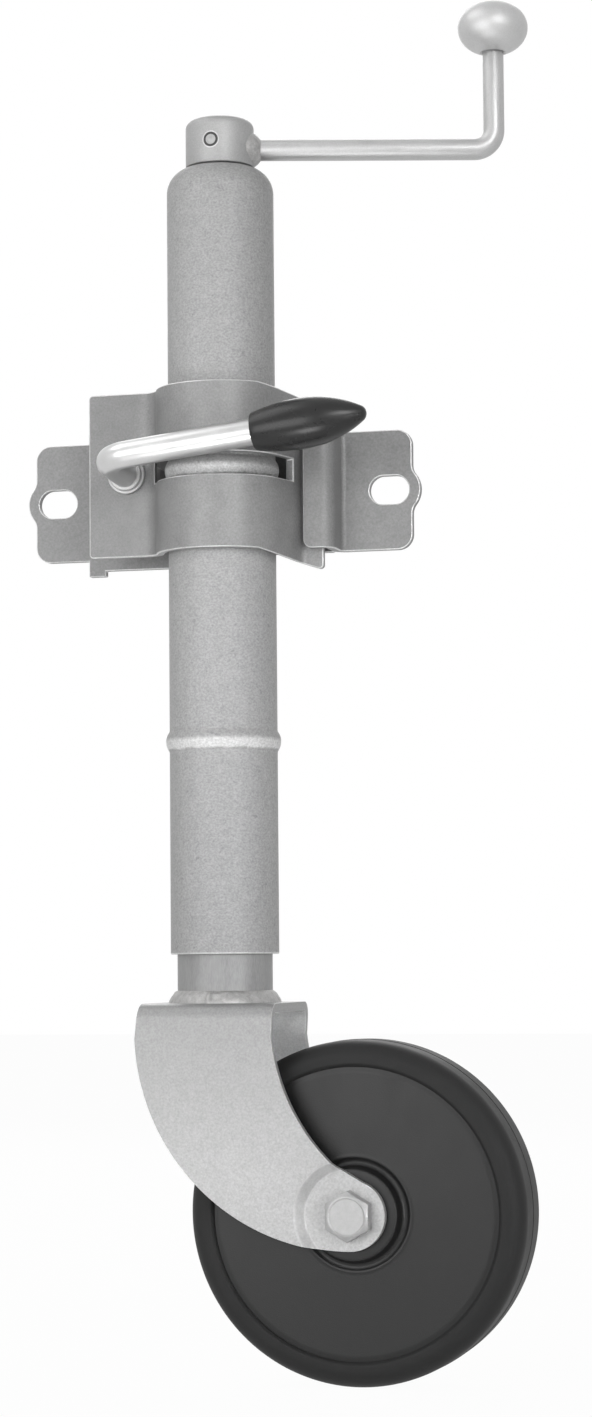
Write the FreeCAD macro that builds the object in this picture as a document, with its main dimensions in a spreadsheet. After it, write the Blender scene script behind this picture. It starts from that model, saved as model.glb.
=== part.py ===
import FreeCAD, Part
import math
import os

import Sketcher

# Trailer jockey wheel with its clamp bracket, in millimetres.
# Row frame: +Z up along the stem, -Y towards the clamp handle, +X towards the crank and the wheel.
# The origin is the middle of the two bolt slots, on the back face of the bracket.
# Sub-parts are drawn in the stem's own frame: its axis is the local Z, with z = 0 at the outer tube's lower rim.

SIZES = [
    # Stem: outer tube with two rolled ribs, and the tube that slides inside it.
    ("tube_od", 48.3, "outer tube, outside diameter"),
    ("tube_wall", 2.6, "outer tube wall"),
    ("tube_len", 355.0, "outer tube, rim to flat top"),
    ("shoulder_rad", 12.0, "rounding of the outer tube's top"),
    ("rib_tall", 9.0, "height of a rolled rib"),
    ("rib_proud", 1.6, "how far a rib stands out of the tube"),
    ("rib_low_z", 94.8, "middle of the lower rib"),
    ("rib_pitch", 122.0, "from the lower rib to the upper one"),
    ("leg_od", 42.4, "inner tube, outside diameter"),
    ("leg_wall", 2.9, "inner tube wall"),
    ("leg_show", 21.5, "inner tube showing between the outer rim and the fork at rest"),
    ("leg_top_drop", 55.0, "top end of the inner tube at rest, below the outer tube's top"),
    ("slide_gap", 0.35, "clearance of the clamp over the ribs"),
    ("fit_gap", 0.06, "radial running fit"),
    ("move_gap", 0.3, "plain clearance between moving pieces"),
    # Lift screw, its bearing and its nut.
    ("lift_travel", 200.0, "how far the leg winds out"),
    ("screw_od", 19.0, "lift screw over its thread"),
    ("screw_neck_od", 20.0, "lift screw journal and spigot"),
    ("screw_chamfer", 1.5, "chamfer at the screw's foot"),
    ("collar_od", 30.0, "collar that carries the bearing"),
    ("collar_tall", 5.0, "height of that collar"),
    ("collar_drop", 39.0, "underside of that collar, below the outer tube's top"),
    ("race_od", 35.0, "thrust bearing, outside diameter"),
    ("race_tall", 3.0, "one bearing race"),
    ("ball_od", 5.5, "bearing ball"),
    ("ball_ring_od", 27.5, "pitch circle of the balls"),
    ("ball_dip", 0.75, "depth of a ball in each race"),
    ("cage_tall", 1.6, "thickness of the ball cage"),
    ("cap_tall", 8.0, "thickness of the plate that closes the tube inside"),
    ("nut_flange_tall", 6.0, "flange of the lift nut"),
    ("nut_deep", 24.0, "how far the lift nut reaches into the inner tube"),
    ("swivel_pin_od", 6.0, "pins that hold the leg on the nut"),
    ("swivel_pin_drop", 14.0, "pins below the top of the inner tube"),
    ("swivel_pin_in", 3.0, "how far the pins reach into the nut's groove"),
    ("stop_tall", 8.0, "stop ring at the foot of the screw"),
    ("stop_od", 30.0, "stop ring, outside diameter"),
    ("stop_pin_od", 4.0, "pin through the stop ring"),
    # Crank.
    ("boss_od", 31.0, "crank boss"),
    ("boss_tall", 21.5, "height of the boss"),
    ("boss_round", 4.0, "rounding of the boss's top edge"),
    ("boss_roof", 3.0, "solid top of the boss"),
    ("boss_pin_od", 6.6, "pin through the boss"),
    ("boss_pin_dome", 1.6, "rounding of that pin's ends"),
    ("boss_pin_drop", 11.5, "pin below the top of the boss"),
    ("crank_rod_od", 9.6, "rod of the crank"),
    ("crank_arm", 124.6, "crank radius"),
    ("crank_arm_up", 8.3, "arm above the underside of the boss"),
    ("crank_bend", 9.0, "centreline radius of the crank's bend"),
    ("crank_angle", 15.3, "how far the crank is turned at rest, in degrees"),
    ("crank_weld_up", 6.5, "weld between arm and boss, up the boss"),
    ("crank_weld_out", 3.4, "that weld along the arm"),
    ("knob_od", 32.0, "knob"),
    ("knob_tall", 24.2, "height of the knob"),
    ("knob_up", 56.0, "middle of the knob above the arm"),
    ("knob_flat", 8.0, "flat on top of the knob"),
    # Bracket, with two bolt slots, and the hooked ear.
    ("sheet", 4.0, "bracket sheet"),
    ("slot_pitch", 157.6, "from slot to slot"),
    ("slot_long", 18.4, "bolt slot, end to end"),
    ("slot_wide", 13.0, "bolt slot, width"),
    ("slot_shift", 7.6, "middle of the slots, left of the stem's axis"),
    ("slot_z", 209.0, "slots above the outer tube's rim"),
    ("ear_tall", 54.6, "height of an ear"),
    ("ear_end", 10.6, "from a slot's middle to the ear's straight end"),
    ("ear_round", 7.0, "corners of the ears"),
    ("lobe_rad", 11.2, "round lobe beside each slot"),
    ("lobe_out", 14.4, "from a slot's middle to the lobe's crest"),
    ("back_left", 71.4, "left edge of the tall middle, from the stem's axis"),
    ("back_right", 12.0, "right edge of the tall middle, from the stem's axis"),
    ("back_tall", 64.0, "height of the tall middle"),
    ("foot_wide", 8.0, "foot at the lower left of the tall middle"),
    ("foot_tall", 2.6, "how far that foot hangs lower"),
    ("wall_x", 45.0, "left face of the hook's wall, from the stem's axis"),
    ("lip_x", 35.4, "free edge of the hook's lip, from the stem's axis"),
    ("lip_gap", 0.7, "between the lip and the clamp plate's tail"),
    ("bend_in", 2.5, "inside radius of the bracket's bends"),
    # Clamp plate.
    ("plate_sheet", 3.5, "clamp plate"),
    ("plate_tall", 74.6, "height of the clamp plate"),
    ("plate_z", 216.4, "middle of the clamp plate, the window and the screw"),
    ("plate_left", 61.5, "left edge of the clamp plate, from the stem's axis"),
    ("flange_y", 4.0, "front face of its flat flange, in front of the stem's axis"),
    ("plate_bend", 8.0, "hollow radius from the flange into the saddle"),
    ("saddle_angle", 75.0, "where the saddle ends on the right, in degrees from the front"),
    ("tail_y", 14.4, "middle of the tail, behind the stem's axis"),
    ("tail_x", 43.6, "end of the tail, from the stem's axis"),
    ("tail_bend", 3.0, "hollow radius from the saddle into the tail"),
    ("tail_slant_x", 22.0, "where the tail's edges start to slant, from the stem's axis"),
    ("tail_drop", 7.0, "how far the tail's lower edge falls"),
    ("tail_top_drop", 5.5, "how far its upper edge falls"),
    ("tail_round", 1.8, "corners of the tail"),
    ("plate_round", 2.0, "corners of the flange"),
    ("window_x", 29.7, "left end of the window, from the stem's axis"),
    ("window_play", 0.5, "room above and below the rib in the window"),
    ("window_y", 5.0, "right end of the window, behind the stem's axis"),
    # Clamp screw with its handle.
    ("handle_x", 43.5, "clamp screw, left of the stem's axis"),
    ("handle_rod_od", 12.0, "rod of the handle"),
    ("handle_out", 38.0, "middle of the handle's arm, in front of the stem's axis"),
    ("handle_bend", 11.0, "centreline radius of the handle's bend"),
    ("handle_angle", 7.0, "how far the handle points up at rest, in degrees"),
    ("handle_lean", 5.7, "how far the rod leans up between screw and bend, in degrees"),
    ("screw_bevel", 1.5, "bevel at the clamp screw's end"),
    ("handle_hole_gap", 0.75, "room round the screw in the clamp plate"),
    ("handle_collar_od", 15.0, "collar on the handle's rod"),
    ("handle_collar_tall", 2.2, "thickness of that collar"),
    ("washer_od", 17.4, "washer under the handle"),
    ("washer_tall", 1.6, "thickness of that washer"),
    ("clamp_nut_flats", 19.0, "clamp nut across its flats"),
    ("clamp_nut_tall", 10.0, "height of the clamp nut"),
    ("screw_short", 1.5, "screw's end in front of the bracket"),
    ("grip_start", 69.6, "from the screw's axis to the grip"),
    ("grip_long", 51.1, "length of the grip"),
    ("grip_mouth_od", 16.7, "grip at its mouth"),
    ("grip_od", 22.4, "grip at its fattest"),
    ("grip_peak", 22.5, "from the mouth to the fattest place"),
    ("grip_tip_rad", 4.0, "rounding of the grip's tip"),
    ("grip_deep", 32.0, "how far the rod reaches into the grip"),
    # Fork and wheel.
    ("fork_sheet", 4.0, "fork sheet"),
    ("fork_wide", 64.6, "fork over its cheeks"),
    ("fork_fold", 7.0, "outside radius of the fork's folds"),
    ("fork_left", 32.5, "left edge of the cheeks, from the stem's axis"),
    ("fork_left_drop", 37.0, "where that edge starts to curve, below the outer rim"),
    ("fork_right", 30.2, "right edge of the web, from the stem's axis"),
    ("fork_right_drop", 36.0, "where the right edge starts to curve, below the outer rim"),
    ("fork_out_rad", 95.0, "curve of the outer edge, down to the axle's foot"),
    ("fork_in_rad", 87.0, "curve of the inner edge"),
    ("fork_in_x", 57.0, "where the inner edge's curve ends, from the stem's axis"),
    ("fork_in_drop", 91.6, "where it ends, below the outer rim"),
    ("fork_right_lean", 1.0, "how far the web's right edge leans out towards its top"),
    ("fork_weld_tall", 5.5, "weld between leg and fork, up the leg"),
    ("fork_weld_wide", 4.0, "weld between leg and fork, along the web"),
    ("cheek_press", 3.5, "how far the cheeks are pressed in round the axle"),
    ("cheek_eye_rad", 15.3, "round end of a cheek"),
    ("cheek_eye_angle", 20.0, "where the inner edge leaves the round end, in degrees from the top"),
    ("cheek_press_rad", 20.0, "flat of the pressing"),
    ("cheek_press_flare", 4.0, "how much wider the pressing is at the cheek's face"),
    ("axle_x", 63.0, "axle, right of the stem's axis"),
    ("axle_drop", 112.6, "axle below the outer tube's rim"),
    ("axle_od", 12.0, "axle bolt"),
    ("bolt_flats", 19.0, "bolt head and nut across their flats"),
    ("bolt_bevel_rim", 9.3, "radius where the bevel of a hexagon's corners starts"),
    ("bolt_bevel_drop", 1.4, "how deep that bevel reaches at the corners"),
    ("bolt_head_tall", 7.0, "height of the bolt head"),
    ("axle_nut_tall", 11.0, "height of the locking nut"),
    ("axle_washer_od", 24.0, "washers on the axle"),
    ("axle_washer_tall", 2.5, "thickness of those washers"),
    ("bolt_end", 3.0, "bolt showing past its nut"),
    ("sleeve_od", 18.0, "bearing sleeve on the axle"),
    ("bush_wall", 2.5, "plain bush in the hub"),
    ("hub_od", 41.0, "hub boss"),
    ("hub_draft", 6.0, "how much wider the hub boss is at its root"),
    ("wheel_od", 150.0, "wheel"),
    ("wheel_wide", 41.0, "width of the tyre"),
    ("tyre_round", 8.0, "shoulders of the tyre"),
    ("disc_od", 126.8, "disc of the wheel"),
    ("disc_wide", 38.2, "width of the disc"),
    ("rim_key", 4.0, "depth of the disc's groove that holds the tyre"),
    ("rim_key_wide", 17.0, "width of that groove"),
]

FRONT = FreeCAD.Vector(0, -1, 0)
UP = FreeCAD.Vector(0, 0, 1)
DEGREE = math.pi / 180
FULL_TURN = 360
BALLS = 10
BEVEL_REACH = 0.62


class Size:
    """A number with the expression that gives it."""

    def __init__(self, value, text):
        self.value = value
        self.text = text

    @staticmethod
    def of(number):
        return number if isinstance(number, Size) else Size(float(number), repr(float(number)))

    def _join(self, other, value, sign):
        return Size(value, "(" + self.text + " " + sign + " " + other.text + ")")

    def __add__(self, other):
        other = Size.of(other)
        return self._join(other, self.value + other.value, "+")

    def __sub__(self, other):
        other = Size.of(other)
        return self._join(other, self.value - other.value, "-")

    def __mul__(self, other):
        other = Size.of(other)
        return self._join(other, self.value * other.value, "*")

    def __truediv__(self, other):
        other = Size.of(other)
        return self._join(other, self.value / other.value, "/")

    def __radd__(self, other):
        return Size.of(other) + self

    def __rsub__(self, other):
        return Size.of(other) - self

    def __rmul__(self, other):
        return Size.of(other) * self

    def __neg__(self):
        return Size(-self.value, "(0 - " + self.text + ")")


def root(size):
    return Size(math.sqrt(size.value), "sqrt(" + size.text + ")")


def sine(degrees):
    return Size(math.sin(degrees.value * DEGREE), "sin(" + degrees.text + " * 1 deg)")


def cosine(degrees):
    return Size(math.cos(degrees.value * DEGREE), "cos(" + degrees.text + " * 1 deg)")


def rise_radius(chord, rise):
    """Radius of the arc with this chord and this rise."""
    return (chord * chord / 4 + rise * rise) / (2 * rise)


class Sizes:
    """Every driving dimension, as an attribute."""

    def __init__(self, document):
        sheet = document.addObject("Spreadsheet::Sheet", "Sizes")
        for row, (name, value, note) in enumerate(SIZES, start=1):
            sheet.set("A%d" % row, note)
            sheet.set("B%d" % row, str(value))
            sheet.setAlias("B%d" % row, name)
            setattr(self, name, Size(value, "Sizes." + name))
        document.recompute()


document = FreeCAD.newDocument("jockey_wheel")
d = Sizes(document)

# Values that several sub-parts share.
tube_rad = d.tube_od / 2
tube_bore = tube_rad - d.tube_wall
rib_rad = tube_rad + d.rib_proud
leg_rad = d.leg_od / 2
leg_bore = leg_rad - d.leg_wall
fork_top_z = -d.leg_show
seat_rad = rib_rad + d.slide_gap
back_front_y = seat_rad
back_rear_y = seat_rad + d.sheet
plate_low_z = d.plate_z - d.plate_tall / 2
plate_high_z = d.plate_z + d.plate_tall / 2
boss_low_z = d.tube_len + d.move_gap
boss_high_z = boss_low_z + d.boss_tall
arm_z = boss_low_z + d.crank_arm_up
collar_z = d.tube_len - d.collar_drop
lower_race_z = collar_z + d.collar_tall
ball_z = lower_race_z + d.race_tall - d.ball_dip + d.ball_od / 2
upper_race_z = ball_z + d.ball_od / 2 - d.ball_dip + d.fit_gap
cap_z = upper_race_z + d.race_tall
leg_top_z = d.tube_len - d.leg_top_drop
nut_low_z = leg_top_z - d.nut_deep
stop_high_z = nut_low_z - d.lift_travel - d.move_gap
cheek_y = d.fork_wide / 2
eye_face_y = cheek_y - d.cheek_press
eye_gap_y = eye_face_y - d.fork_sheet


def place(feature, x=0, y=0, z=0, turn_axis=UP, turn=None):
    """Put a sub-part in the row frame, from its place in the stem's frame."""
    feature.Placement = FreeCAD.Placement(FreeCAD.Vector(), FreeCAD.Rotation(turn_axis, turn.value if turn else 0))
    if turn:
        feature.setExpression("Placement.Rotation.Angle", turn.text + " * 1 deg")
    feature.setExpression("Placement.Base.x", (d.slot_shift + x).text)
    feature.setExpression("Placement.Base.y", (y - back_rear_y).text)
    feature.setExpression("Placement.Base.z", (z - d.slot_z).text)


def locate(feature, x, y, z):
    """Place a plain solid in the stem's frame."""
    for axis, size in zip("xyz", (x, y, z)):
        feature.setExpression("Placement.Base." + axis, Size.of(size).text)


def gather(name, features):
    """Join plain solids in one sub-part, without fusing them."""
    group = document.addObject("Part::Compound", name)
    group.Label = name
    group.Links = features
    place(group)


def new_body(name):
    body = document.addObject("PartDesign::Body", name)
    body.Label = name
    return body


def add_sketch(body, plane, offset=None):
    """A sketch on one of the body's own planes, moved along the plane's normal."""
    sketch = body.newObject("Sketcher::SketchObject", body.Name + "_sketch")
    plane_object = [item for item in body.Origin.OriginFeatures if item.Role == plane][0]
    sketch.AttachmentSupport = [(plane_object, "")]
    sketch.MapMode = "FlatFace"
    if offset is not None:
        sketch.setExpression("AttachmentOffset.Base.z", Size.of(offset).text)
    return sketch


def fix(sketch, index, end, x, y):
    """Hold one point of a sketch at (x, y), by expressions."""
    for kind, axis, size in (("DistanceX", -2, Size.of(x)), ("DistanceY", -1, Size.of(y))):
        if size.value == 0:
            sketch.addConstraint(Sketcher.Constraint("PointOnObject", index, end, axis))
            continue
        number = sketch.addConstraint(Sketcher.Constraint(kind, -1, 1, index, end, size.value))
        sketch.setExpression("Constraints[%d]" % number, size.text)


def fix_radius(sketch, index, radius):
    number = sketch.addConstraint(Sketcher.Constraint("Radius", index, abs(radius.value)))
    sketch.setExpression("Constraints[%d]" % number, radius.text)


def arc_between(start, end, radius, leftward):
    """The short arc from start to end; its centre lies left of the way when leftward is true."""
    chord = end - start
    normal = FreeCAD.Vector(-chord.y, chord.x, 0).normalize()
    rise = math.sqrt(max(radius ** 2 - chord.Length ** 2 / 4, 0))
    centre = (start + end) * 0.5 + normal * (rise if leftward else -rise)
    first, last = (start, end) if leftward else (end, start)
    angles = [math.atan2(point.y - centre.y, point.x - centre.x) for point in (first, last)]
    if angles[1] < angles[0]:
        angles[1] += 2 * math.pi
    return Part.ArcOfCircle(Part.Circle(centre, UP, radius), angles[0], angles[1])


def draw(sketch, path, closed=True):
    """Draw lines and arcs through the points of a path.

    A point is (x, y), or (x, y, radius, side) where an arc leads to the next point; side is "left" or "right",
    the side of the way on which the arc's centre lies.
    """
    points = [FreeCAD.Vector(Size.of(p[0]).value, Size.of(p[1]).value, 0) for p in path]
    count = len(path) if closed else len(path) - 1
    starts, ends = [], []
    for i in range(count):
        start, end = points[i], points[(i + 1) % len(path)]
        if len(path[i]) == 2:
            index = sketch.addGeometry(Part.LineSegment(start, end), False)
            starts.append((index, 1))
            ends.append((index, 2))
            continue
        radius, leftward = Size.of(path[i][2]), path[i][3] == "left"
        index = sketch.addGeometry(arc_between(start, end, radius.value, leftward), False)
        starts.append((index, 1 if leftward else 2))
        ends.append((index, 2 if leftward else 1))
    for i in range(count):
        if closed or i + 1 < count:
            following = starts[(i + 1) % count]
            sketch.addConstraint(Sketcher.Constraint("Coincident", *ends[i], *following))
        fix(sketch, *starts[i], path[i][0], path[i][1])
        if len(path[i]) > 2:
            fix_radius(sketch, starts[i][0], Size.of(path[i][2]))
    if not closed:
        fix(sketch, *ends[-1], path[-1][0], path[-1][1])
    return sketch


def draw_circle(sketch, x, y, radius):
    circle = Part.Circle(FreeCAD.Vector(Size.of(x).value, Size.of(y).value, 0), UP, radius.value)
    index = sketch.addGeometry(circle, False)
    fix(sketch, index, 3, x, y)
    fix_radius(sketch, index, radius)
    return sketch


def draw_hexagon(sketch, x, y, flats):
    """A hexagon with two corners above and below its middle."""
    corner = flats / math.sqrt(3)
    half = flats / 2
    right = ((0, -corner), (half, -corner / 2), (half, corner / 2))
    left = ((0, corner), (-half, corner / 2), (-half, -corner / 2))
    return draw(sketch, [(x + step_x, y + step_y) for step_x, step_y in right + left])


def pad(sketch, length, kind="Pad", both_ways=False, backward=False):
    body = sketch.getParentGeoFeatureGroup()
    feature = body.newObject("PartDesign::" + kind, body.Name + "_" + kind.lower())
    feature.Profile = sketch
    if length is None:
        feature.Type = "ThroughAll"
    else:
        feature.setExpression("Length", length.text)
    feature.Midplane = both_ways
    feature.Reversed = backward
    document.recompute()
    return feature


def cut_through(sketch):
    """Cut a sketch through the whole body, both ways."""
    body = sketch.getParentGeoFeatureGroup()
    before = body.Shape.Volume
    feature = pad(sketch, None, "Pocket", both_ways=True)
    if feature.Shape.Volume >= before:
        raise RuntimeError(feature.Name + " cuts nothing")
    return feature


def turn(sketch, axis="V_Axis", kind="Revolution"):
    body = sketch.getParentGeoFeatureGroup()
    feature = body.newObject("PartDesign::" + kind, body.Name + "_" + kind.lower())
    feature.Profile = sketch
    feature.ReferenceAxis = (sketch, [axis])
    feature.Angle = FULL_TURN
    document.recompute()
    return feature


def sweep(profile, spine):
    """Draw the profile along all edges of the spine."""
    body = profile.getParentGeoFeatureGroup()
    feature = body.newObject("PartDesign::AdditivePipe", body.Name + "_sweep")
    feature.Profile = profile
    feature.Spine = (spine, ["Edge%d" % (i + 1) for i in range(spine.GeometryCount)])
    document.recompute()
    return feature


def round_edges(body, radius, wanted, kind="Fillet"):
    """Round or chamfer the edges for which wanted(edge) is true."""
    document.recompute()
    base = body.Tip
    names = ["Edge%d" % (i + 1) for i, edge in enumerate(base.Shape.Edges) if wanted(edge)]
    if not names:
        raise RuntimeError(body.Name + " has no such edge")
    feature = body.newObject("PartDesign::" + kind, body.Name + "_" + kind.lower())
    feature.Base = (base, names)
    feature.setExpression("Radius" if kind == "Fillet" else "Size", Size.of(radius).text)
    document.recompute()
    return feature


def near(first, second, slack=0.01):
    return abs(first - second) < slack


def is_ring(edge, radius, height=None, axis="z"):
    """True for a full circle of this radius, at this height along the axis."""
    if not isinstance(edge.Curve, Part.Circle) or not near(edge.Curve.Radius, radius.value):
        return False
    return height is None or near(getattr(edge.Curve.Center, axis), Size.of(height).value)


def turned_body(name, path, plane="XZ_Plane", axis="V_Axis"):
    body = new_body(name)
    turn(draw(add_sketch(body, plane), path), axis)
    return body


def outer_tube():
    """Tube with two rolled ribs and a spun shoulder."""
    rib_arc = rise_radius(d.rib_tall, d.rib_proud)
    inner_arc = rib_arc - d.tube_wall
    inner_half = root(inner_arc * inner_arc - (inner_arc - d.rib_proud) * (inner_arc - d.rib_proud))
    inner_round = d.shoulder_rad - d.tube_wall
    mouth = d.screw_neck_od / 2 + d.move_gap
    half = d.rib_tall / 2
    low, high = d.rib_low_z, d.rib_low_z + d.rib_pitch
    path = [
        (tube_bore, 0),
        (tube_rad, 0),
        (tube_rad, low - half, rib_arc, "left"),
        (tube_rad, low + half),
        (tube_rad, high - half, rib_arc, "left"),
        (tube_rad, high + half),
        (tube_rad, d.tube_len - d.shoulder_rad, d.shoulder_rad, "left"),
        (tube_rad - d.shoulder_rad, d.tube_len),
        (mouth, d.tube_len),
        (mouth, d.tube_len - d.tube_wall),
        (tube_rad - d.shoulder_rad, d.tube_len - d.tube_wall, inner_round, "right"),
        (tube_bore, d.tube_len - d.shoulder_rad),
        (tube_bore, high + inner_half, inner_arc, "right"),
        (tube_bore, high - inner_half),
        (tube_bore, low + inner_half, inner_arc, "right"),
        (tube_bore, low - inner_half),
    ]
    place(turned_body("outer_tube", path))


def tube_cap():
    """Plate inside the tube's top, which takes the lift screw's thrust."""
    bore = d.screw_neck_od / 2 + d.fit_gap
    high = cap_z + d.cap_tall
    place(turned_body("tube_cap", [(bore, cap_z), (tube_bore, cap_z), (tube_bore, high), (bore, high)]))


def bearing():
    """Thrust bearing: two grooved races, balls and their cage."""
    groove = d.ball_od / 2 + d.fit_gap
    ring = d.ball_ring_od / 2
    groove_half = root(groove * groove - (groove - d.ball_dip) * (groove - d.ball_dip))
    races = (
        ("bearing_race_lower", lower_race_z, d.screw_neck_od / 2, 1),
        ("bearing_race_upper", upper_race_z, d.screw_neck_od / 2 + d.move_gap, -1),
    )
    for name, low, bore, side in races:
        face = low + d.race_tall if side > 0 else low
        back = low if side > 0 else low + d.race_tall
        path = [
            (bore, back),
            (bore, face),
            (ring - groove_half, face, groove, "left" if side > 0 else "right"),
            (ring + groove_half, face),
            (d.race_od / 2, face),
            (d.race_od / 2, back),
        ]
        place(turned_body(name, path))
    bearing_cage(ring)


def bearing_cage(ring):
    """Flat cage with a hole for each ball, and the balls in it."""
    body = new_body("bearing_cage")
    sketch = add_sketch(body, "XY_Plane", ball_z - d.cage_tall / 2)
    draw_circle(sketch, 0, 0, d.race_od / 2 - d.move_gap)
    draw_circle(sketch, 0, 0, d.screw_neck_od / 2 + d.move_gap)
    pad(sketch, d.cage_tall)
    holes = draw_circle(add_sketch(body, "XY_Plane"), ring, 0, d.ball_od / 2 + d.fit_gap)
    pocket = cut_through(holes)
    pattern = body.newObject("PartDesign::PolarPattern", "bearing_cage_holes")
    pattern.Originals = [pocket]
    pattern.Axis = (holes, ["N_Axis"])
    pattern.Angle = FULL_TURN
    pattern.Occurrences = BALLS
    body.Tip = pattern
    place(body)
    balls = []
    for i in range(BALLS):
        ball = document.addObject("Part::Sphere", "ball_%d" % (i + 1))
        ball.setExpression("Radius", (d.ball_od / 2).text)
        angle = Size.of(i * FULL_TURN / BALLS)
        locate(ball, ring * cosine(angle), ring * sine(angle), ball_z)
        balls.append(ball)
    gather("bearing_balls", balls)


def lift_screw():
    """Long screw with a collar under the bearing and a spigot for the crank boss."""
    screw, neck, collar = d.screw_od / 2, d.screw_neck_od / 2, d.collar_od / 2
    foot = stop_high_z - d.stop_tall - d.stop_pin_od
    top = boss_high_z - d.boss_roof - d.move_gap
    path = [
        (0, foot),
        (screw - d.screw_chamfer, foot),
        (screw, foot + d.screw_chamfer),
        (screw, collar_z),
        (collar, collar_z),
        (collar, lower_race_z),
        (neck, lower_race_z),
        (neck, top),
        (0, top),
    ]
    body = turned_body("lift_screw", path)
    pin = add_sketch(body, "XZ_Plane")
    draw_circle(pin, 0, boss_high_z - d.boss_pin_drop, d.boss_pin_od / 2)
    draw_circle(pin, 0, stop_high_z - d.stop_tall / 2, d.stop_pin_od / 2)
    cut_through(pin)
    place(body)


def screw_stop():
    """Ring pinned to the screw's foot, which keeps the nut from running off."""
    low = stop_high_z - d.stop_tall
    screw, ring = d.screw_od / 2, d.stop_od / 2
    body = turned_body("screw_stop", [(screw, low), (ring, low), (ring, stop_high_z), (screw, stop_high_z)])
    middle = stop_high_z - d.stop_tall / 2
    cut_through(draw_circle(add_sketch(body, "XZ_Plane"), 0, middle, d.stop_pin_od / 2))
    place(body)
    pin = new_body("stop_pin")
    pad(draw_circle(add_sketch(pin, "XZ_Plane"), 0, middle, d.stop_pin_od / 2), d.stop_od, both_ways=True)
    place(pin)


def lift_nut():
    """Flanged nut that seats on the inner tube and lets it swivel."""
    bore = d.screw_od / 2 + d.fit_gap
    body_rad = leg_bore - d.fit_gap
    groove_rad = leg_bore - d.swivel_pin_in - d.move_gap
    flange_z = leg_top_z + d.move_gap
    groove_z = leg_top_z - d.swivel_pin_drop
    groove_half = d.swivel_pin_od / 2 + d.move_gap
    path = [
        (bore, nut_low_z),
        (body_rad, nut_low_z),
        (body_rad, groove_z - groove_half),
        (groove_rad, groove_z - groove_half),
        (groove_rad, groove_z + groove_half),
        (body_rad, groove_z + groove_half),
        (body_rad, flange_z),
        (leg_rad, flange_z),
        (leg_rad, flange_z + d.nut_flange_tall),
        (bore, flange_z + d.nut_flange_tall),
    ]
    place(turned_body("lift_nut", path))


def leg_tube():
    """Inner tube, with the holes for the swivel pins."""
    body = turned_body(
        "leg_tube",
        [(leg_bore, fork_top_z), (leg_rad, fork_top_z), (leg_rad, leg_top_z), (leg_bore, leg_top_z)],
    )
    pin_z = leg_top_z - d.swivel_pin_drop
    cut_through(draw_circle(add_sketch(body, "YZ_Plane"), 0, pin_z, d.swivel_pin_od / 2))
    place(body)
    inner = leg_bore - d.swivel_pin_in
    pins = []
    for side, name in ((1, "right"), (-1, "left")):
        pin = document.addObject("Part::Cylinder", "swivel_pin_" + name)
        pin.setExpression("Radius", (d.swivel_pin_od / 2).text)
        pin.setExpression("Height", (leg_rad - d.move_gap - inner).text)
        pin.Placement.Rotation = FreeCAD.Rotation(UP, FreeCAD.Vector(side, 0, 0))
        locate(pin, inner * side, 0, pin_z)
        pins.append(pin)
    gather("swivel_pins", pins)


def crank_boss():
    """Boss that caps the stem, pinned to the screw and welded to the crank's arm."""
    neck, boss = d.screw_neck_od / 2, d.boss_od / 2
    roof = boss_high_z - d.boss_roof
    dome = d.boss_round
    path = [
        (neck, boss_low_z),
        (boss, boss_low_z),
        (boss, boss_high_z - dome, dome, "left"),
        (boss - dome, boss_high_z),
        (0, boss_high_z),
        (0, roof),
        (neck, roof),
    ]
    body = turned_body("crank_boss", path)
    pin_z = boss_high_z - d.boss_pin_drop
    cut_through(draw_circle(add_sketch(body, "XZ_Plane"), 0, pin_z, d.boss_pin_od / 2))
    place(body)
    pin = new_body("boss_pin")
    pad(draw_circle(add_sketch(pin, "XZ_Plane"), 0, pin_z, d.boss_pin_od / 2), d.boss_od, both_ways=True)
    round_edges(pin, d.boss_pin_dome, lambda edge: is_ring(edge, d.boss_pin_od / 2))
    place(pin)


def crank_rod():
    """Bent rod of the crank, its weld and its knob."""
    rod = d.crank_rod_od / 2
    arm, bend = d.crank_arm, d.crank_bend
    seat = root(d.boss_od * d.boss_od / 4 - rod * rod)
    top = arm_z + d.knob_up
    body = new_body("crank_rod")
    path = [(seat, arm_z), (arm - bend, arm_z, bend, "left"), (arm, arm_z + bend), (arm, top)]
    spine = draw(add_sketch(body, "XZ_Plane"), path, closed=False)
    sweep(draw_circle(add_sketch(body, "YZ_Plane", seat), 0, arm_z, rod), spine)
    hollow = draw_circle(add_sketch(body, "XY_Plane", boss_low_z), 0, 0, d.boss_od / 2)
    pad(hollow, d.boss_tall, "Pocket", backward=True)
    place(body, turn=d.crank_angle)


def crank_knob():
    """Flattened ball pressed on the end of the crank."""
    low, high = arm_z + d.knob_up - d.knob_tall / 2, arm_z + d.knob_up + d.knob_tall / 2
    middle = arm_z + d.knob_up
    rim, flat, rod = d.knob_od / 2, d.knob_flat / 2, d.crank_rod_od / 2
    foot = rod + flat / 2
    top_arc = rise_radius(2 * (rim - flat), d.knob_tall / 2)
    path = [
        (rod, low),
        (foot, low, rise_radius(2 * (rim - foot), d.knob_tall / 2), "left"),
        (rim, middle, top_arc, "left"),
        (flat, high),
        (0, high),
        (0, middle),
        (rod, middle),
    ]
    body = turned_body("crank_knob", path)
    arm = d.crank_arm
    place(body, x=arm * cosine(d.crank_angle), y=arm * sine(d.crank_angle))


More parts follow.
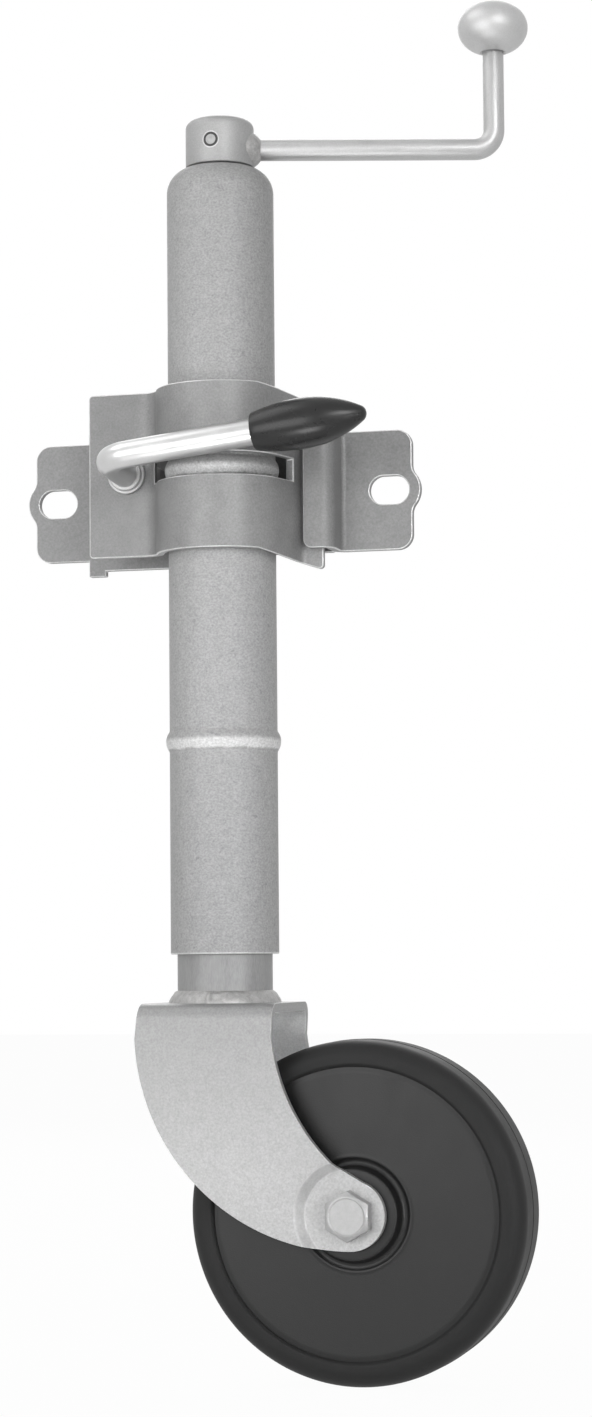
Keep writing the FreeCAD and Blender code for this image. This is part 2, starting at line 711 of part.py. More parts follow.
def base_plate():
    """Bracket's back plate, with the left ear and its bolt slot."""
    left_slot = -d.slot_shift - d.slot_pitch / 2
    ear_left = left_slot - d.ear_end
    ear_low, ear_high = d.slot_z - d.ear_tall / 2, d.slot_z + d.ear_tall / 2
    low, high = d.slot_z - d.back_tall / 2, d.slot_z + d.back_tall / 2
    body = new_body("base_plate")
    outline = [
        (ear_left, ear_low),
        (-d.back_left, ear_low),
        (-d.back_left, low - d.foot_tall),
        (d.foot_wide - d.back_left, low - d.foot_tall),
        (d.foot_wide - d.back_left, low),
        (d.back_right, low),
        (d.back_right, ear_low),
        (d.wall_x, ear_low),
        (d.wall_x, ear_high),
        (d.back_right, ear_high),
        (d.back_right, high),
        (-d.back_left, high),
        (-d.back_left, ear_high),
        (ear_left, ear_high),
    ]
    pad(draw(add_sketch(body, "XZ_Plane", -back_rear_y), outline), d.sheet)
    lobe_x = left_slot - d.lobe_out + d.lobe_rad
    pad(draw_circle(add_sketch(body, "XZ_Plane", -back_rear_y), lobe_x, d.slot_z, d.lobe_rad), d.sheet)
    openings = draw_slot(add_sketch(body, "XZ_Plane"), left_slot, d.slot_z)
    draw_circle(openings, -d.handle_x, d.plate_z, d.handle_rod_od / 2 + d.handle_hole_gap)
    cut_through(openings)
    round_edges(body, d.ear_round, lambda edge: is_corner(edge, ear_left))
    place(body)


def draw_slot(sketch, x, z):
    """A bolt slot, longer sideways."""
    radius, reach = d.slot_wide / 2, (d.slot_long - d.slot_wide) / 2
    path = [
        (x - reach, z - radius),
        (x + reach, z - radius, radius, "left"),
        (x + reach + radius, z, radius, "left"),
        (x + reach, z + radius),
        (x - reach, z + radius, radius, "left"),
        (x - reach - radius, z, radius, "left"),
    ]
    return draw(sketch, path)


def is_corner(edge, x):
    """True for a straight edge along Y that stands at this x."""
    if not isinstance(edge.Curve, Part.Line):
        return False
    return abs(edge.Curve.Direction.y) > 0.99 and near(edge.Vertexes[0].X, x.value)


def hook_ear():
    """Right ear, bent forward beside the tube and back in a lip that holds the clamp plate."""
    right_slot = d.slot_pitch / 2 - d.slot_shift
    ear_right = right_slot + d.ear_end
    low = d.slot_z - d.ear_tall / 2
    outside = d.bend_in + d.sheet
    lip_front = d.tail_y - d.plate_sheet / 2 - d.lip_gap - d.sheet
    wall_right = d.wall_x + d.sheet
    path = [
        (ear_right, back_front_y),
        (ear_right, back_rear_y),
        (d.wall_x + outside, back_rear_y, outside, "left"),
        (d.wall_x, back_rear_y - outside),
        (d.wall_x, lip_front + d.sheet),
        (d.lip_x, lip_front + d.sheet),
        (d.lip_x, lip_front),
        (wall_right - outside, lip_front, outside, "left"),
        (wall_right, lip_front + outside),
        (wall_right, back_front_y - d.bend_in, d.bend_in, "right"),
        (wall_right + d.bend_in, back_front_y),
    ]
    body = new_body("hook_ear")
    pad(draw(add_sketch(body, "XY_Plane", low), path), d.ear_tall)
    lobe_x = right_slot + d.lobe_out - d.lobe_rad
    pad(draw_circle(add_sketch(body, "XZ_Plane", -back_rear_y), lobe_x, d.slot_z, d.lobe_rad), d.sheet)
    cut_through(draw_slot(add_sketch(body, "XZ_Plane"), right_slot, d.slot_z))
    round_edges(body, d.ear_round, lambda edge: is_corner(edge, ear_right))
    round_edges(body, d.sheet, lambda edge: is_corner(edge, d.lip_x))
    place(body)


def bracket_weld():
    """Weld along the corner between the back plate and the hooked ear's wall."""
    leg = d.sheet
    low = d.slot_z - d.ear_tall / 2 + leg
    path = [(d.wall_x, back_front_y), (d.wall_x - leg, back_front_y), (d.wall_x, back_front_y - leg)]
    body = new_body("bracket_weld")
    pad(draw(add_sketch(body, "XY_Plane", low), path), d.ear_tall - leg * 2)
    place(body)


def clamp_nut():
    """Nut welded to the back plate for the clamp screw."""
    body = new_body("clamp_nut")
    pad(draw_hexagon(add_sketch(body, "XZ_Plane"), 0, 0, d.clamp_nut_flats), d.clamp_nut_tall)
    cut_through(draw_circle(add_sketch(body, "XZ_Plane"), 0, 0, d.handle_rod_od / 2 + d.fit_gap))
    place(body, x=-d.handle_x, y=back_front_y, z=d.plate_z)


def front_clamp_plate():
    """Plate that presses the stem back: flat flange, saddle and a tail behind the lip."""
    inside, outside = seat_rad, seat_rad + d.plate_sheet
    hollow, hollow_back = d.plate_bend, d.plate_bend + d.plate_sheet
    reach = outside + hollow
    bend_y = -d.flange_y - hollow
    bend_x = -root(reach * reach - bend_y * bend_y)
    side_x, side_y = sine(d.saddle_angle), -cosine(d.saddle_angle)
    front, back = d.tail_y - d.plate_sheet / 2, d.tail_y + d.plate_sheet / 2
    tail_reach = outside + d.tail_bend
    run = (front - d.tail_bend - tail_reach * side_y) / side_x
    tail_bend_x = tail_reach * side_x - run * side_y
    tail_bend_y = front - d.tail_bend
    tail_back = d.tail_bend + d.plate_sheet
    path = [
        (-d.plate_left, -d.flange_y),
        (bend_x, -d.flange_y, hollow, "right"),
        (bend_x * outside / reach, bend_y * outside / reach, outside, "left"),
        (outside * side_x, outside * side_y),
        (tail_bend_x - d.tail_bend * side_x, tail_bend_y - d.tail_bend * side_y, d.tail_bend, "right"),
        (tail_bend_x, front),
        (d.tail_x, front),
        (d.tail_x, back),
        (tail_bend_x, back, tail_back, "left"),
        (tail_bend_x - tail_back * side_x, tail_bend_y - tail_back * side_y),
        (inside * side_x, inside * side_y, inside, "right"),
        (bend_x * inside / reach, bend_y * inside / reach, hollow_back, "left"),
        (bend_x, d.plate_sheet - d.flange_y),
        (-d.plate_left, d.plate_sheet - d.flange_y),
    ]
    body = new_body("front_clamp_plate")
    low = plate_low_z - d.tail_drop
    pad(draw(add_sketch(body, "XY_Plane", low), path), d.plate_tall + d.tail_drop)
    clear = d.plate_tall
    below = [
        (-d.plate_left - clear, low - clear),
        (d.tail_x, low - clear),
        (d.tail_x, low),
        (d.tail_slant_x, plate_low_z),
        (-d.plate_left - clear, plate_low_z),
    ]
    cut_through(draw(add_sketch(body, "XZ_Plane"), below))
    above = [
        (d.tail_slant_x, plate_high_z),
        (d.tail_x, plate_high_z - d.tail_top_drop),
        (d.tail_x + clear, plate_high_z - d.tail_top_drop),
        (d.tail_x + clear, plate_high_z + clear),
        (d.tail_slant_x, plate_high_z + clear),
    ]
    cut_through(draw(add_sketch(body, "XZ_Plane"), above))
    screw_hole = d.handle_rod_od / 2 + d.handle_hole_gap
    cut_through(draw_circle(add_sketch(body, "XZ_Plane"), -d.handle_x, d.plate_z, screw_hole))
    half = d.rib_tall / 2 + d.window_play
    window = [
        (-d.window_x, -clear),
        (d.tail_x, -clear),
        (d.tail_x, d.window_y),
        (-d.window_x, d.window_y),
    ]
    middle = d.rib_low_z + d.rib_pitch
    pad(draw(add_sketch(body, "XY_Plane", middle - half), window), half * 2, "Pocket", backward=True)
    round_edges(body, d.plate_round, lambda edge: is_corner(edge, -d.plate_left))
    round_edges(body, d.tail_round, lambda edge: is_corner(edge, d.tail_x))
    place(body)


def handle_washer():
    face_y = -d.flange_y - d.move_gap
    hole = d.handle_rod_od / 2 + d.fit_gap
    body = new_body("handle_washer")
    ring = add_sketch(body, "XZ_Plane")
    draw_circle(ring, 0, 0, d.washer_od / 2)
    draw_circle(ring, 0, 0, hole)
    pad(ring, d.washer_tall)
    place(body, x=-d.handle_x, y=face_y, z=d.plate_z)


def handle_elbow():
    """How far in front of the stem's axis the handle's rod starts to lean, and its length to the arm."""
    lean_y = d.flange_y + d.move_gap + d.washer_tall + d.fit_gap + d.handle_collar_tall
    return lean_y, (d.handle_out - lean_y) / cosine(d.handle_lean)


def lean(sketch):
    """Tilt a sketch as the handle's rod leans."""
    base = sketch.AttachmentOffset.Base
    sketch.AttachmentOffset = FreeCAD.Placement(base, FreeCAD.Rotation(FreeCAD.Vector(-1, 0, 0), 1))
    sketch.setExpression("AttachmentOffset.Rotation.Angle", d.handle_lean.text + " * 1 deg")
    return sketch


def handle_rod():
    """Clamp screw and handle, bent from one rod, with a collar that bears on the washer."""
    radius, bend = d.handle_rod_od / 2, d.handle_bend
    tip = back_rear_y - d.screw_short
    lean_y, run = handle_elbow()
    body = new_body("handle_rod")
    pad(draw_circle(add_sketch(body, "XZ_Plane", -tip), 0, 0, radius), tip + lean_y)
    round_edges(body, d.screw_bevel, lambda edge: is_ring(edge, radius, tip, "y"), "Chamfer")
    spine = lean(add_sketch(body, "XY_Plane"))
    spine.setExpression("AttachmentOffset.Base.y", (-lean_y).text)
    path = [(0, 0), (0, bend - run, bend, "left"), (bend, -run), (d.grip_start + d.grip_deep, -run)]
    draw(spine, path, closed=False)
    sweep(draw_circle(lean(add_sketch(body, "XZ_Plane", lean_y)), 0, 0, radius), spine)
    collar = draw_circle(add_sketch(body, "XZ_Plane", lean_y - d.handle_collar_tall), 0, 0, d.handle_collar_od / 2)
    pad(collar, d.handle_collar_tall)
    place(body, x=-d.handle_x, z=d.plate_z, turn_axis=FRONT, turn=d.handle_angle)


def handle_grip():
    """Long egg-shaped grip on the handle's arm, drawn with its mouth at the local origin."""
    mouth, fat, hole, tip = d.grip_mouth_od / 2, d.grip_od / 2, d.handle_rod_od / 2, d.grip_tip_rad
    run = d.grip_long - tip - d.grip_peak
    front_arc = (run * run + fat * fat - tip * tip) / (2 * (fat - tip))
    share = tip / (front_arc - tip)
    meet_x = d.grip_long - tip + run * share
    meet_y = (front_arc - fat) * share
    path = [
        (0, hole),
        (d.grip_deep, hole),
        (d.grip_deep, 0),
        (d.grip_long, 0, tip, "left"),
        (meet_x, meet_y, front_arc, "left"),
        (d.grip_peak, fat, rise_radius(2 * d.grip_peak, fat - mouth), "left"),
        (0, mouth),
    ]
    body = turned_body("handle_grip", path, "XY_Plane", "H_Axis")
    lift = handle_elbow()[1] * sine(d.handle_lean)
    along, across = cosine(d.handle_angle), sine(d.handle_angle)
    place(
        body,
        x=d.grip_start * along - lift * across - d.handle_x,
        y=-d.handle_out,
        z=d.plate_z + d.grip_start * across + lift * along,
        turn_axis=FRONT,
        turn=d.handle_angle,
    )


def fork():
    """Folded sheet fork: a web under the leg, and two cheeks pressed in round the axle."""
    half, sheet, fold = d.fork_wide / 2, d.fork_sheet, d.fork_fold
    foot_z = -d.axle_drop - d.cheek_eye_rad
    inner = fold - sheet
    end_x = d.axle_x + d.cheek_eye_rad
    section = [
        (-half, foot_z),
        (sheet - half, foot_z),
        (sheet - half, fork_top_z - fold, inner, "right"),
        (fold - half, fork_top_z - sheet),
        (half - fold, fork_top_z - sheet, inner, "right"),
        (half - sheet, fork_top_z - fold),
        (half - sheet, foot_z),
        (half, foot_z),
        (half, fork_top_z - fold, fold, "left"),
        (half - fold, fork_top_z),
        (fold - half, fork_top_z, fold, "left"),
        (-half, fork_top_z - fold),
    ]
    body = new_body("fork")
    reach = end_x + sheet
    pad(draw(add_sketch(body, "YZ_Plane", reach), section), reach + d.fork_left + sheet, backward=True)
    press, flare = d.cheek_press_rad, d.cheek_press_rad + d.cheek_press_flare
    for kind, high, name in (("Revolution", half - sheet, "in"), ("Groove", half, "out")):
        sketch = add_sketch(body, "XY_Plane", -d.axle_drop)
        sketch.setExpression("AttachmentOffset.Base.x", d.axle_x.text)
        low = high - d.cheek_press
        draw(sketch, [(0, low), (press, low), (flare, high), (0, high)])
        draw(sketch, [(0, -low), (press, -low), (flare, -high), (0, -high)])
        turn(sketch, kind=kind)
    outline = fork_outline()
    trim = draw(add_sketch(body, "XZ_Plane"), outline)
    border = [
        (-d.fork_left - reach, foot_z - reach),
        (reach * 2, foot_z - reach),
        (reach * 2, fork_top_z + reach),
        (-d.fork_left - reach, fork_top_z + reach),
    ]
    draw(trim, border)
    cut_through(trim)
    eye = draw_circle(add_sketch(body, "XZ_Plane"), d.axle_x, -d.axle_drop, d.axle_od / 2 + d.fit_gap)
    cut_through(eye)
    place(body)


def fork_outline():
    """Side view of the fork: out and down to the axle on the left, and back up on the right."""
    eye = d.cheek_eye_rad
    return [
        (-d.fork_left, -d.fork_left_drop, d.fork_out_rad, "left"),
        (d.axle_x, -d.axle_drop - eye, eye, "left"),
        (d.axle_x + eye, -d.axle_drop, eye, "left"),
        (d.axle_x + eye * sine(d.cheek_eye_angle), -d.axle_drop + eye * cosine(d.cheek_eye_angle)),
        (d.fork_in_x, -d.fork_in_drop, d.fork_in_rad, "right"),
        (d.fork_right - d.fork_right_lean, -d.fork_right_drop),
        (d.fork_right, fork_top_z + d.fork_sheet),
        (-d.fork_left + d.fork_sheet / 2, fork_top_z + d.fork_sheet),
    ]


def fork_weld():
    low = fork_top_z
    path = [(leg_rad, low), (leg_rad + d.fork_weld_wide, low), (leg_rad, low + d.fork_weld_tall)]
    place(turned_body("fork_weld", path))


def crank_weld():
    """Cone of weld round the crank's arm where it meets the boss, flush with the boss's underside."""
    rod, up, out, boss = d.crank_rod_od / 2, d.crank_weld_up, d.crank_weld_out, d.boss_od / 2
    crown = rod + up
    seat = root(boss * boss - crown * crown) - out
    body = new_body("crank_weld")
    sketch = add_sketch(body, "XZ_Plane")
    sketch.setExpression("AttachmentOffset.Base.y", arm_z.text)
    draw(sketch, [(seat, rod), (boss + out, rod), (boss, crown), (seat, crown)])
    turn(sketch, "H_Axis")
    clear = d.boss_tall
    pad(draw_circle(add_sketch(body, "XY_Plane", arm_z - clear), 0, 0, boss), clear * 2, "Pocket", backward=True)
    floor = draw_circle(add_sketch(body, "XY_Plane", boss_low_z - clear), 0, 0, d.boss_od)
    pad(floor, clear, "Pocket", backward=True)
    place(body, turn=d.crank_angle)


def axle_place(body):
    place(body, x=d.axle_x, z=-d.axle_drop)


def wheel():
    """Tyre, disc and bush, each drawn round the axle."""
    outer, half = d.wheel_od / 2, d.wheel_wide / 2
    disc, disc_half = d.disc_od / 2, d.disc_wide / 2
    key, key_half = disc - d.rim_key, d.rim_key_wide / 2
    shoulder = d.tyre_round
    tyre = [
        (key, -key_half),
        (disc, -key_half),
        (disc, -half),
        (outer - shoulder, -half, shoulder, "left"),
        (outer, shoulder - half),
        (outer, half - shoulder, shoulder, "left"),
        (outer - shoulder, half),
        (disc, half),
        (disc, key_half),
        (key, key_half),
    ]
    axle_place(turned_body("tyre", tyre, "XY_Plane"))
    bore = d.sleeve_od / 2 + d.fit_gap
    socket = bore + d.bush_wall
    hub, root_rad = d.hub_od / 2, d.hub_od / 2 + d.hub_draft
    face = eye_gap_y - d.move_gap
    rim = [
        (socket, -face),
        (hub, -face),
        (root_rad, -disc_half),
        (disc, -disc_half),
        (disc, -key_half),
        (key, -key_half),
        (key, key_half),
        (disc, key_half),
        (disc, disc_half),
        (root_rad, disc_half),
        (hub, face),
        (socket, face),
    ]
    axle_place(turned_body("wheel_rim", rim, "XY_Plane"))
    bush = [(bore, -face), (socket, -face), (socket, face), (bore, face)]
    axle_place(turned_body("hub_bush", bush, "XY_Plane"))


def axle():
    """Sleeve between the cheeks, and the bolt, washer and nut that clamp it."""
    hole, sleeve = d.axle_od / 2, d.sleeve_od / 2
    gap = eye_gap_y
    path = [(hole, -gap), (sleeve, -gap), (sleeve, gap), (hole, gap)]
    axle_place(turned_body("axle_sleeve", path, "XY_Plane"))
    washer_y = eye_face_y + d.axle_washer_tall
    washer = [
        (hole + d.fit_gap, eye_face_y),
        (d.axle_washer_od / 2, eye_face_y),
        (d.axle_washer_od / 2, washer_y),
        (hole + d.fit_gap, washer_y),
    ]
    axle_place(turned_body("axle_washer", washer, "XY_Plane"))
    bolt = new_body("axle_bolt")
    end_y = washer_y + d.axle_nut_tall + d.bolt_end
    pad(draw_circle(add_sketch(bolt, "XZ_Plane", -end_y), 0, 0, hole), end_y + eye_face_y)
    pad(draw_hexagon(add_sketch(bolt, "XZ_Plane", eye_face_y), 0, 0, d.bolt_flats), d.bolt_head_tall)
    bevel_corners(bolt, -eye_face_y - d.bolt_head_tall, 1)
    axle_place(bolt)
    nut = new_body("axle_nut")
    pad(draw_hexagon(add_sketch(nut, "XZ_Plane", -washer_y), 0, 0, d.bolt_flats), d.axle_nut_tall, backward=True)
    cut_through(draw_circle(add_sketch(nut, "XZ_Plane"), 0, 0, hole))
    bevel_corners(nut, washer_y + d.axle_nut_tall, -1)
    axle_place(nut)


def bevel_corners(body, face_y, inward):
    """Take the corners off a hexagon's outer face with a flat cone."""
    rim, corner = d.bolt_bevel_rim, d.bolt_flats * BEVEL_REACH
    drop = d.bolt_bevel_drop * inward
    path = [(rim, face_y), (corner, face_y + drop), (corner, face_y)]
    turn(draw(add_sketch(body, "XY_Plane"), path), kind="Groove")


def build_stem():
    outer_tube()
    tube_cap()
    bearing()
    lift_screw()
    screw_stop()
    lift_nut()
    leg_tube()
    crank_boss()
    crank_rod()
    crank_weld()
    crank_knob()


def build_bracket():
    base_plate()
    hook_ear()
    bracket_weld()
    clamp_nut()
    front_clamp_plate()
    handle_washer()
    handle_rod()
    handle_grip()


def build_caster():
    fork()
    fork_weld()
    wheel()
    axle()


build_stem()
build_bracket()
build_caster()


def check_and_export():
    """Stop on any failed object, then write one file for each sub-part."""
    document.recompute()
    parts = []
    for item in document.Objects:
        if "Invalid" in item.State or "Error" in item.State:
            raise RuntimeError(item.Name + " has failed")
        if item.TypeId in ("PartDesign::Body", "Part::Compound"):
            parts.append(item)
    os.makedirs("parts", exist_ok=True)
    for part in parts:
        if part.Shape.isNull() or not part.Shape.isValid() or not part.Shape.Solids:
            raise RuntimeError(part.Label + " has no valid solid")
        part.Shape.exportStep("parts/" + part.Label + ".step")
        print("%-22s solids %d volume %9.1f" % (part.Label, len(part.Shape.Solids), part.Shape.Volume))


check_and_export()
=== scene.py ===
"""Looks of a trailer jockey wheel with its clamp bracket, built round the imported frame.

Places are in metres; sizes of pieces, and lengths given to functions, are in millimetres.
"""

import logging
import math
from dataclasses import dataclass, field, replace
from enum import Enum
from typing import Callable, Optional, Sequence, Union

import bmesh
import bpy
from mathutils import Matrix, Vector, noise


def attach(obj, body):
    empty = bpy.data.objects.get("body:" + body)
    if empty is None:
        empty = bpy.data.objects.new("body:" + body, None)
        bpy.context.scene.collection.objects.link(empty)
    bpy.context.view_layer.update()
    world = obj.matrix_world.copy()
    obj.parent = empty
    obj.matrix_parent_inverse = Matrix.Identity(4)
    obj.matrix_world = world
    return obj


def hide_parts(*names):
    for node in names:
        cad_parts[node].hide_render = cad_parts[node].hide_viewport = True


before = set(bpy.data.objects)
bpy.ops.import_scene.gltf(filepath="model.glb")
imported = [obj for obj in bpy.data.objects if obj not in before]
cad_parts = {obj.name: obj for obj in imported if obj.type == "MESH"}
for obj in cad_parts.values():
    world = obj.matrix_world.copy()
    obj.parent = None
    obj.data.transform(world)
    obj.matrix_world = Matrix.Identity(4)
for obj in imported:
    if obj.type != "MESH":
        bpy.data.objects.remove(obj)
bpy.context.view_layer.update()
LOG = logging.getLogger("jockey_wheel")
BMesh = bmesh.types.BMesh
Finish = bpy.types.Material

# One millimetre and the distance within which points are one, in metres; angles in degrees.
MM = 0.001
SAME_POINT = 1e-6
FLAT = 0.6
CREASE = 30.0
SOFT_CREASE = 60.0

# Middle of the tube's lower rim, of the wheel and of the clamp screw, and the angles at rest.
RIM_CENTRE = Vector((7.6, -30.1, -209.0)) * MM
AXLE_CENTRE = RIM_CENTRE + Vector((63.0, 0.0, -112.6)) * MM
HANDLE_CENTRE = RIM_CENTRE + Vector((-43.5, 0.0, 216.4)) * MM
WHEEL_FOOT = AXLE_CENTRE.z - 75.0 * MM
CRANK_ANGLE = math.radians(15.3)
HANDLE_ANGLE = math.radians(7.0)
HANDLE_LEAN = math.radians(5.7)

# White, and the stretches of a noise that are drawn out to the full range.
WHITE = (1.0, 1.0, 1.0, 1.0)
CLOUD_RANGE = (0.3, 0.7)
GRAIN_RANGE = (0.25, 0.75)
PIT_RANGE = (0.66, 0.74)
SCUFF_RANGE = (0.62, 0.75)


class Axis(Enum):
    """Directions round which a profile is spun."""

    UP = Vector((0, 0, 1))
    BACK = Vector((0, 1, 0))


class Channel:
    """One output of a shader graph; arithmetic on it adds Math nodes."""

    def __init__(self, graph: "Graph", socket: bpy.types.NodeSocket) -> None:
        """Keep the socket and the graph it belongs to."""
        self.graph = graph
        self.socket = socket

    def _math(self, operation: str, first: object, second: object) -> "Channel":
        """Join two values with a Math node."""
        return self.graph.node("ShaderNodeMath", {"operation": operation}, {0: first, 1: second})

    def __add__(self, other: object) -> "Channel":
        """Sum."""
        return self._math("ADD", self, other)

    def __radd__(self, other: object) -> "Channel":
        """Sum, reflected."""
        return self._math("ADD", other, self)

    def __sub__(self, other: object) -> "Channel":
        """Difference."""
        return self._math("SUBTRACT", self, other)

    def __rsub__(self, other: object) -> "Channel":
        """Difference, reflected."""
        return self._math("SUBTRACT", other, self)

    def __mul__(self, other: object) -> "Channel":
        """Product."""
        return self._math("MULTIPLY", self, other)

    def __rmul__(self, other: object) -> "Channel":
        """Product, reflected."""
        return self._math("MULTIPLY", other, self)

    def larger(self, other: object) -> "Channel":
        """The larger of two values."""
        return self._math("MAXIMUM", self, other)

    def span(self, low: float, high: float, to_low: float = 0.0, to_high: float = 1.0) -> "Channel":
        """Map low..high onto another range, and stop at its ends.

        Args:
            low: value that becomes to_low.
            high: value that becomes to_high.
            to_low: start of the new range.
            to_high: end of the new range.

        Returns:
            The mapped channel.
        """
        values = {"Value": self, "From Min": low, "From Max": high, "To Min": to_low, "To Max": to_high}
        return self.graph.node("ShaderNodeMapRange", {"clamp": True}, values)

    def around(self, middle: float, swing: float) -> "Channel":
        """Let a cloudy noise swing a value round its middle."""
        return self.span(*CLOUD_RANGE, middle - swing, middle + swing)


class Graph:
    """Node tree of a material or of the world."""

    def __init__(self, owner: bpy.types.ID) -> None:
        """Empty the owner's node tree.

        Args:
            owner: material or world whose node tree is used.
        """
        owner.use_nodes = True
        self.owner = owner
        self.tree = owner.node_tree
        self.tree.nodes.clear()

    @staticmethod
    def _socket(sockets: Sequence[bpy.types.NodeSocket], key: object) -> bpy.types.NodeSocket:
        """Find a socket by index, identifier or name.

        Args:
            sockets: inputs or outputs of a node.
            key: index, identifier or name.

        Returns:
            The first socket that fits.
        """
        if isinstance(key, int):
            return sockets[key]
        return next(s for s in sockets if key in (s.identifier, s.name))

    def node(self, kind: str, settings: dict, inputs: dict, output: object = 0) -> Channel:
        """Add a node.

        Args:
            kind: type name of the node.
            settings: properties, which are set first.
            inputs: values or channels of its sockets.
            output: index, identifier or name of the wanted output.

        Returns:
            The wanted output as a channel.
        """
        node = self.tree.nodes.new(kind)
        for name, value in settings.items():
            setattr(node, name, value)
        for key, value in inputs.items():
            socket = self._socket(node.inputs, key)
            if isinstance(value, Channel):
                self.tree.links.new(value.socket, socket)
            else:
                socket.default_value = value
        return Channel(self, self._socket(node.outputs, output))

    def ray(self, kind: str) -> Channel:
        """One for rays of a kind, such as Is Camera Ray, and zero for others."""
        return self.node("ShaderNodeLightPath", {}, {}, kind)

    def close(self, kind: str, shader: Channel) -> None:
        """Send a shader to the output node of a kind."""
        output = self.tree.nodes.new(kind)
        self.tree.links.new(shader.socket, output.inputs["Surface"])


class Surface(Graph):
    """Node tree of one material, whose noises follow the object's coordinates."""

    def __init__(self, name: str) -> None:
        """Start an empty material."""
        super().__init__(bpy.data.materials.new(name))
        self.place = self.node("ShaderNodeTexCoord", {}, {}, "Object")

    def noise(self, size: float, detail: float = 3.0, stretch: Sequence[float] = (1, 1, 1)) -> Channel:
        """Cloudy noise in the object's coordinates.

        Args:
            size: grain size.
            detail: number of finer layers.
            stretch: factors on the grain size along X, Y and Z.

        Returns:
            The noise.
        """
        scale = [1.0 / (size * MM * part) for part in stretch]
        place = self.node("ShaderNodeMapping", {}, {"Vector": self.place, "Scale": scale})
        values = {"Vector": place, "Scale": 1.0, "Detail": detail, "Roughness": 0.6}
        return self.node("ShaderNodeTexNoise", {}, values)

    def blend(self, factor: Channel, dark: object, light: object) -> Channel:
        """Colour between two others.

        Args:
            factor: share of the light side.
            dark: colour or channel at 0.
            light: colour or channel at 1.

        Returns:
            The blended colour.
        """
        dark, light = (side if isinstance(side, Channel) else (*side, 1.0) for side in (dark, light))
        values = {"Factor_Float": factor, "A_Color": dark, "B_Color": light}
        return self.node("ShaderNodeMix", {"data_type": "RGBA"}, values, "Result_Color")

    def bump(self, height: Channel, depth: float) -> Channel:
        """Normal disturbed by a height from 0 to 1, with the given depth."""
        return self.node("ShaderNodeBump", {}, {"Height": height, "Distance": depth * MM, "Strength": 1.0})

    def finish(self, **inputs: object) -> Finish:
        """Close the graph with a Principled shader.

        Args:
            inputs: the shader's inputs, with underscores for the spaces in their names.

        Returns:
            The finished material.
        """
        values = {name.replace("_", " "): value for name, value in inputs.items()}
        self.close("ShaderNodeOutputMaterial", self.node("ShaderNodeBsdfPrincipled", {}, values))
        return self.owner


def grey(level: float, warmth: float = 0.0) -> tuple[float, float, float]:
    """Neutral colour, a little warmer where warmth is above zero."""
    return (level * (1 + warmth), level, level * (1 - warmth))


@dataclass(frozen=True)
class Steel:
    """Zinc coated or bare steel with cloudy tone, fine grain and small pits, and bands of painted light in a
    lighter tone.
    """

    name: str
    tone: float
    metallic: float = 0.75
    roughness: float = 0.42
    rough_swing: float = 0.06
    cloud: float = 0.10
    cloud_size: float = 9.0
    grain: float = 0.10
    grain_size: float = 0.45
    grain_depth: float = 0.02
    pits: float = 0.0
    pit_spacing: float = 3.0
    pit_share: float = 0.2
    stretch: tuple[float, float, float] = (1.0, 1.0, 1.0)
    warmth: float = 0.0
    light_bands: tuple[tuple[float, float], ...] = ()
    light_band_axis: str = "Z"
    light_band_fade: float = 0.9
    lit_tone: float = 0.7
    light_band_wander: float = 0.5
    gloss: float = 0.5

    def painted_light_mask(self, graph: Surface, cloud: Channel) -> Optional[Channel]:
        """Mask of the bands painted lighter as painted light, each from a low to a high place in millimetres.

        Args:
            graph: node tree of the finish.
            cloud: noise that moves the bands' edges.

        Returns:
            The mask, or None where there are no bands.
        """
        mask = None
        fade, wander = self.light_band_fade, self.light_band_wander
        place = graph.node("ShaderNodeSeparateXYZ", {}, {"Vector": graph.place}, self.light_band_axis) * (1 / MM)
        for low, high in self.light_bands:
            edge = place + cloud.around(0.0, wander)
            band = edge.span(low - fade / 2, low + fade / 2) * (1 - edge.span(high - fade, high + fade))
            mask = band if mask is None else mask + band
        return mask

    def tinted(self, graph: Surface, mixed: Channel, tone: float) -> Channel:
        """Colour that swings round a tone."""
        spread, warmth = self.cloud + self.grain, self.warmth
        return graph.blend(mixed, grey(tone * (1 - spread), warmth), grey(tone * (1 + spread), warmth))

    def material(self) -> Finish:
        """Build the finish.

        Returns:
            The material.
        """
        graph = Surface(self.name)
        cloud = graph.noise(self.cloud_size, 4.0, self.stretch)
        grain = graph.noise(self.grain_size, 2.0, self.stretch)
        pit = graph.noise(self.grain_size * self.pit_spacing, 1.0).span(*PIT_RANGE)
        spread = self.cloud + self.grain
        clouded = cloud.span(*CLOUD_RANGE, 0.0, self.cloud / spread)
        mixed = clouded + grain.span(*GRAIN_RANGE, 0.0, self.grain / spread) - pit * self.pits
        colour = self.tinted(graph, mixed, self.tone)
        # Painted light: the bands take a lighter tone where highlights and lit areas are painted.
        if self.light_bands:
            lit_colour = self.tinted(graph, mixed, self.lit_tone)
            colour = graph.blend(self.painted_light_mask(graph, cloud), colour, lit_colour)
        height = grain * (1 - self.pit_share) + (1 - pit) * self.pit_share
        return graph.finish(
            Base_Color=colour,
            Metallic=self.metallic,
            Specular_IOR_Level=self.gloss,
            Roughness=cloud.around(self.roughness, self.rough_swing),
            Normal=graph.bump(height, self.grain_depth),
        )


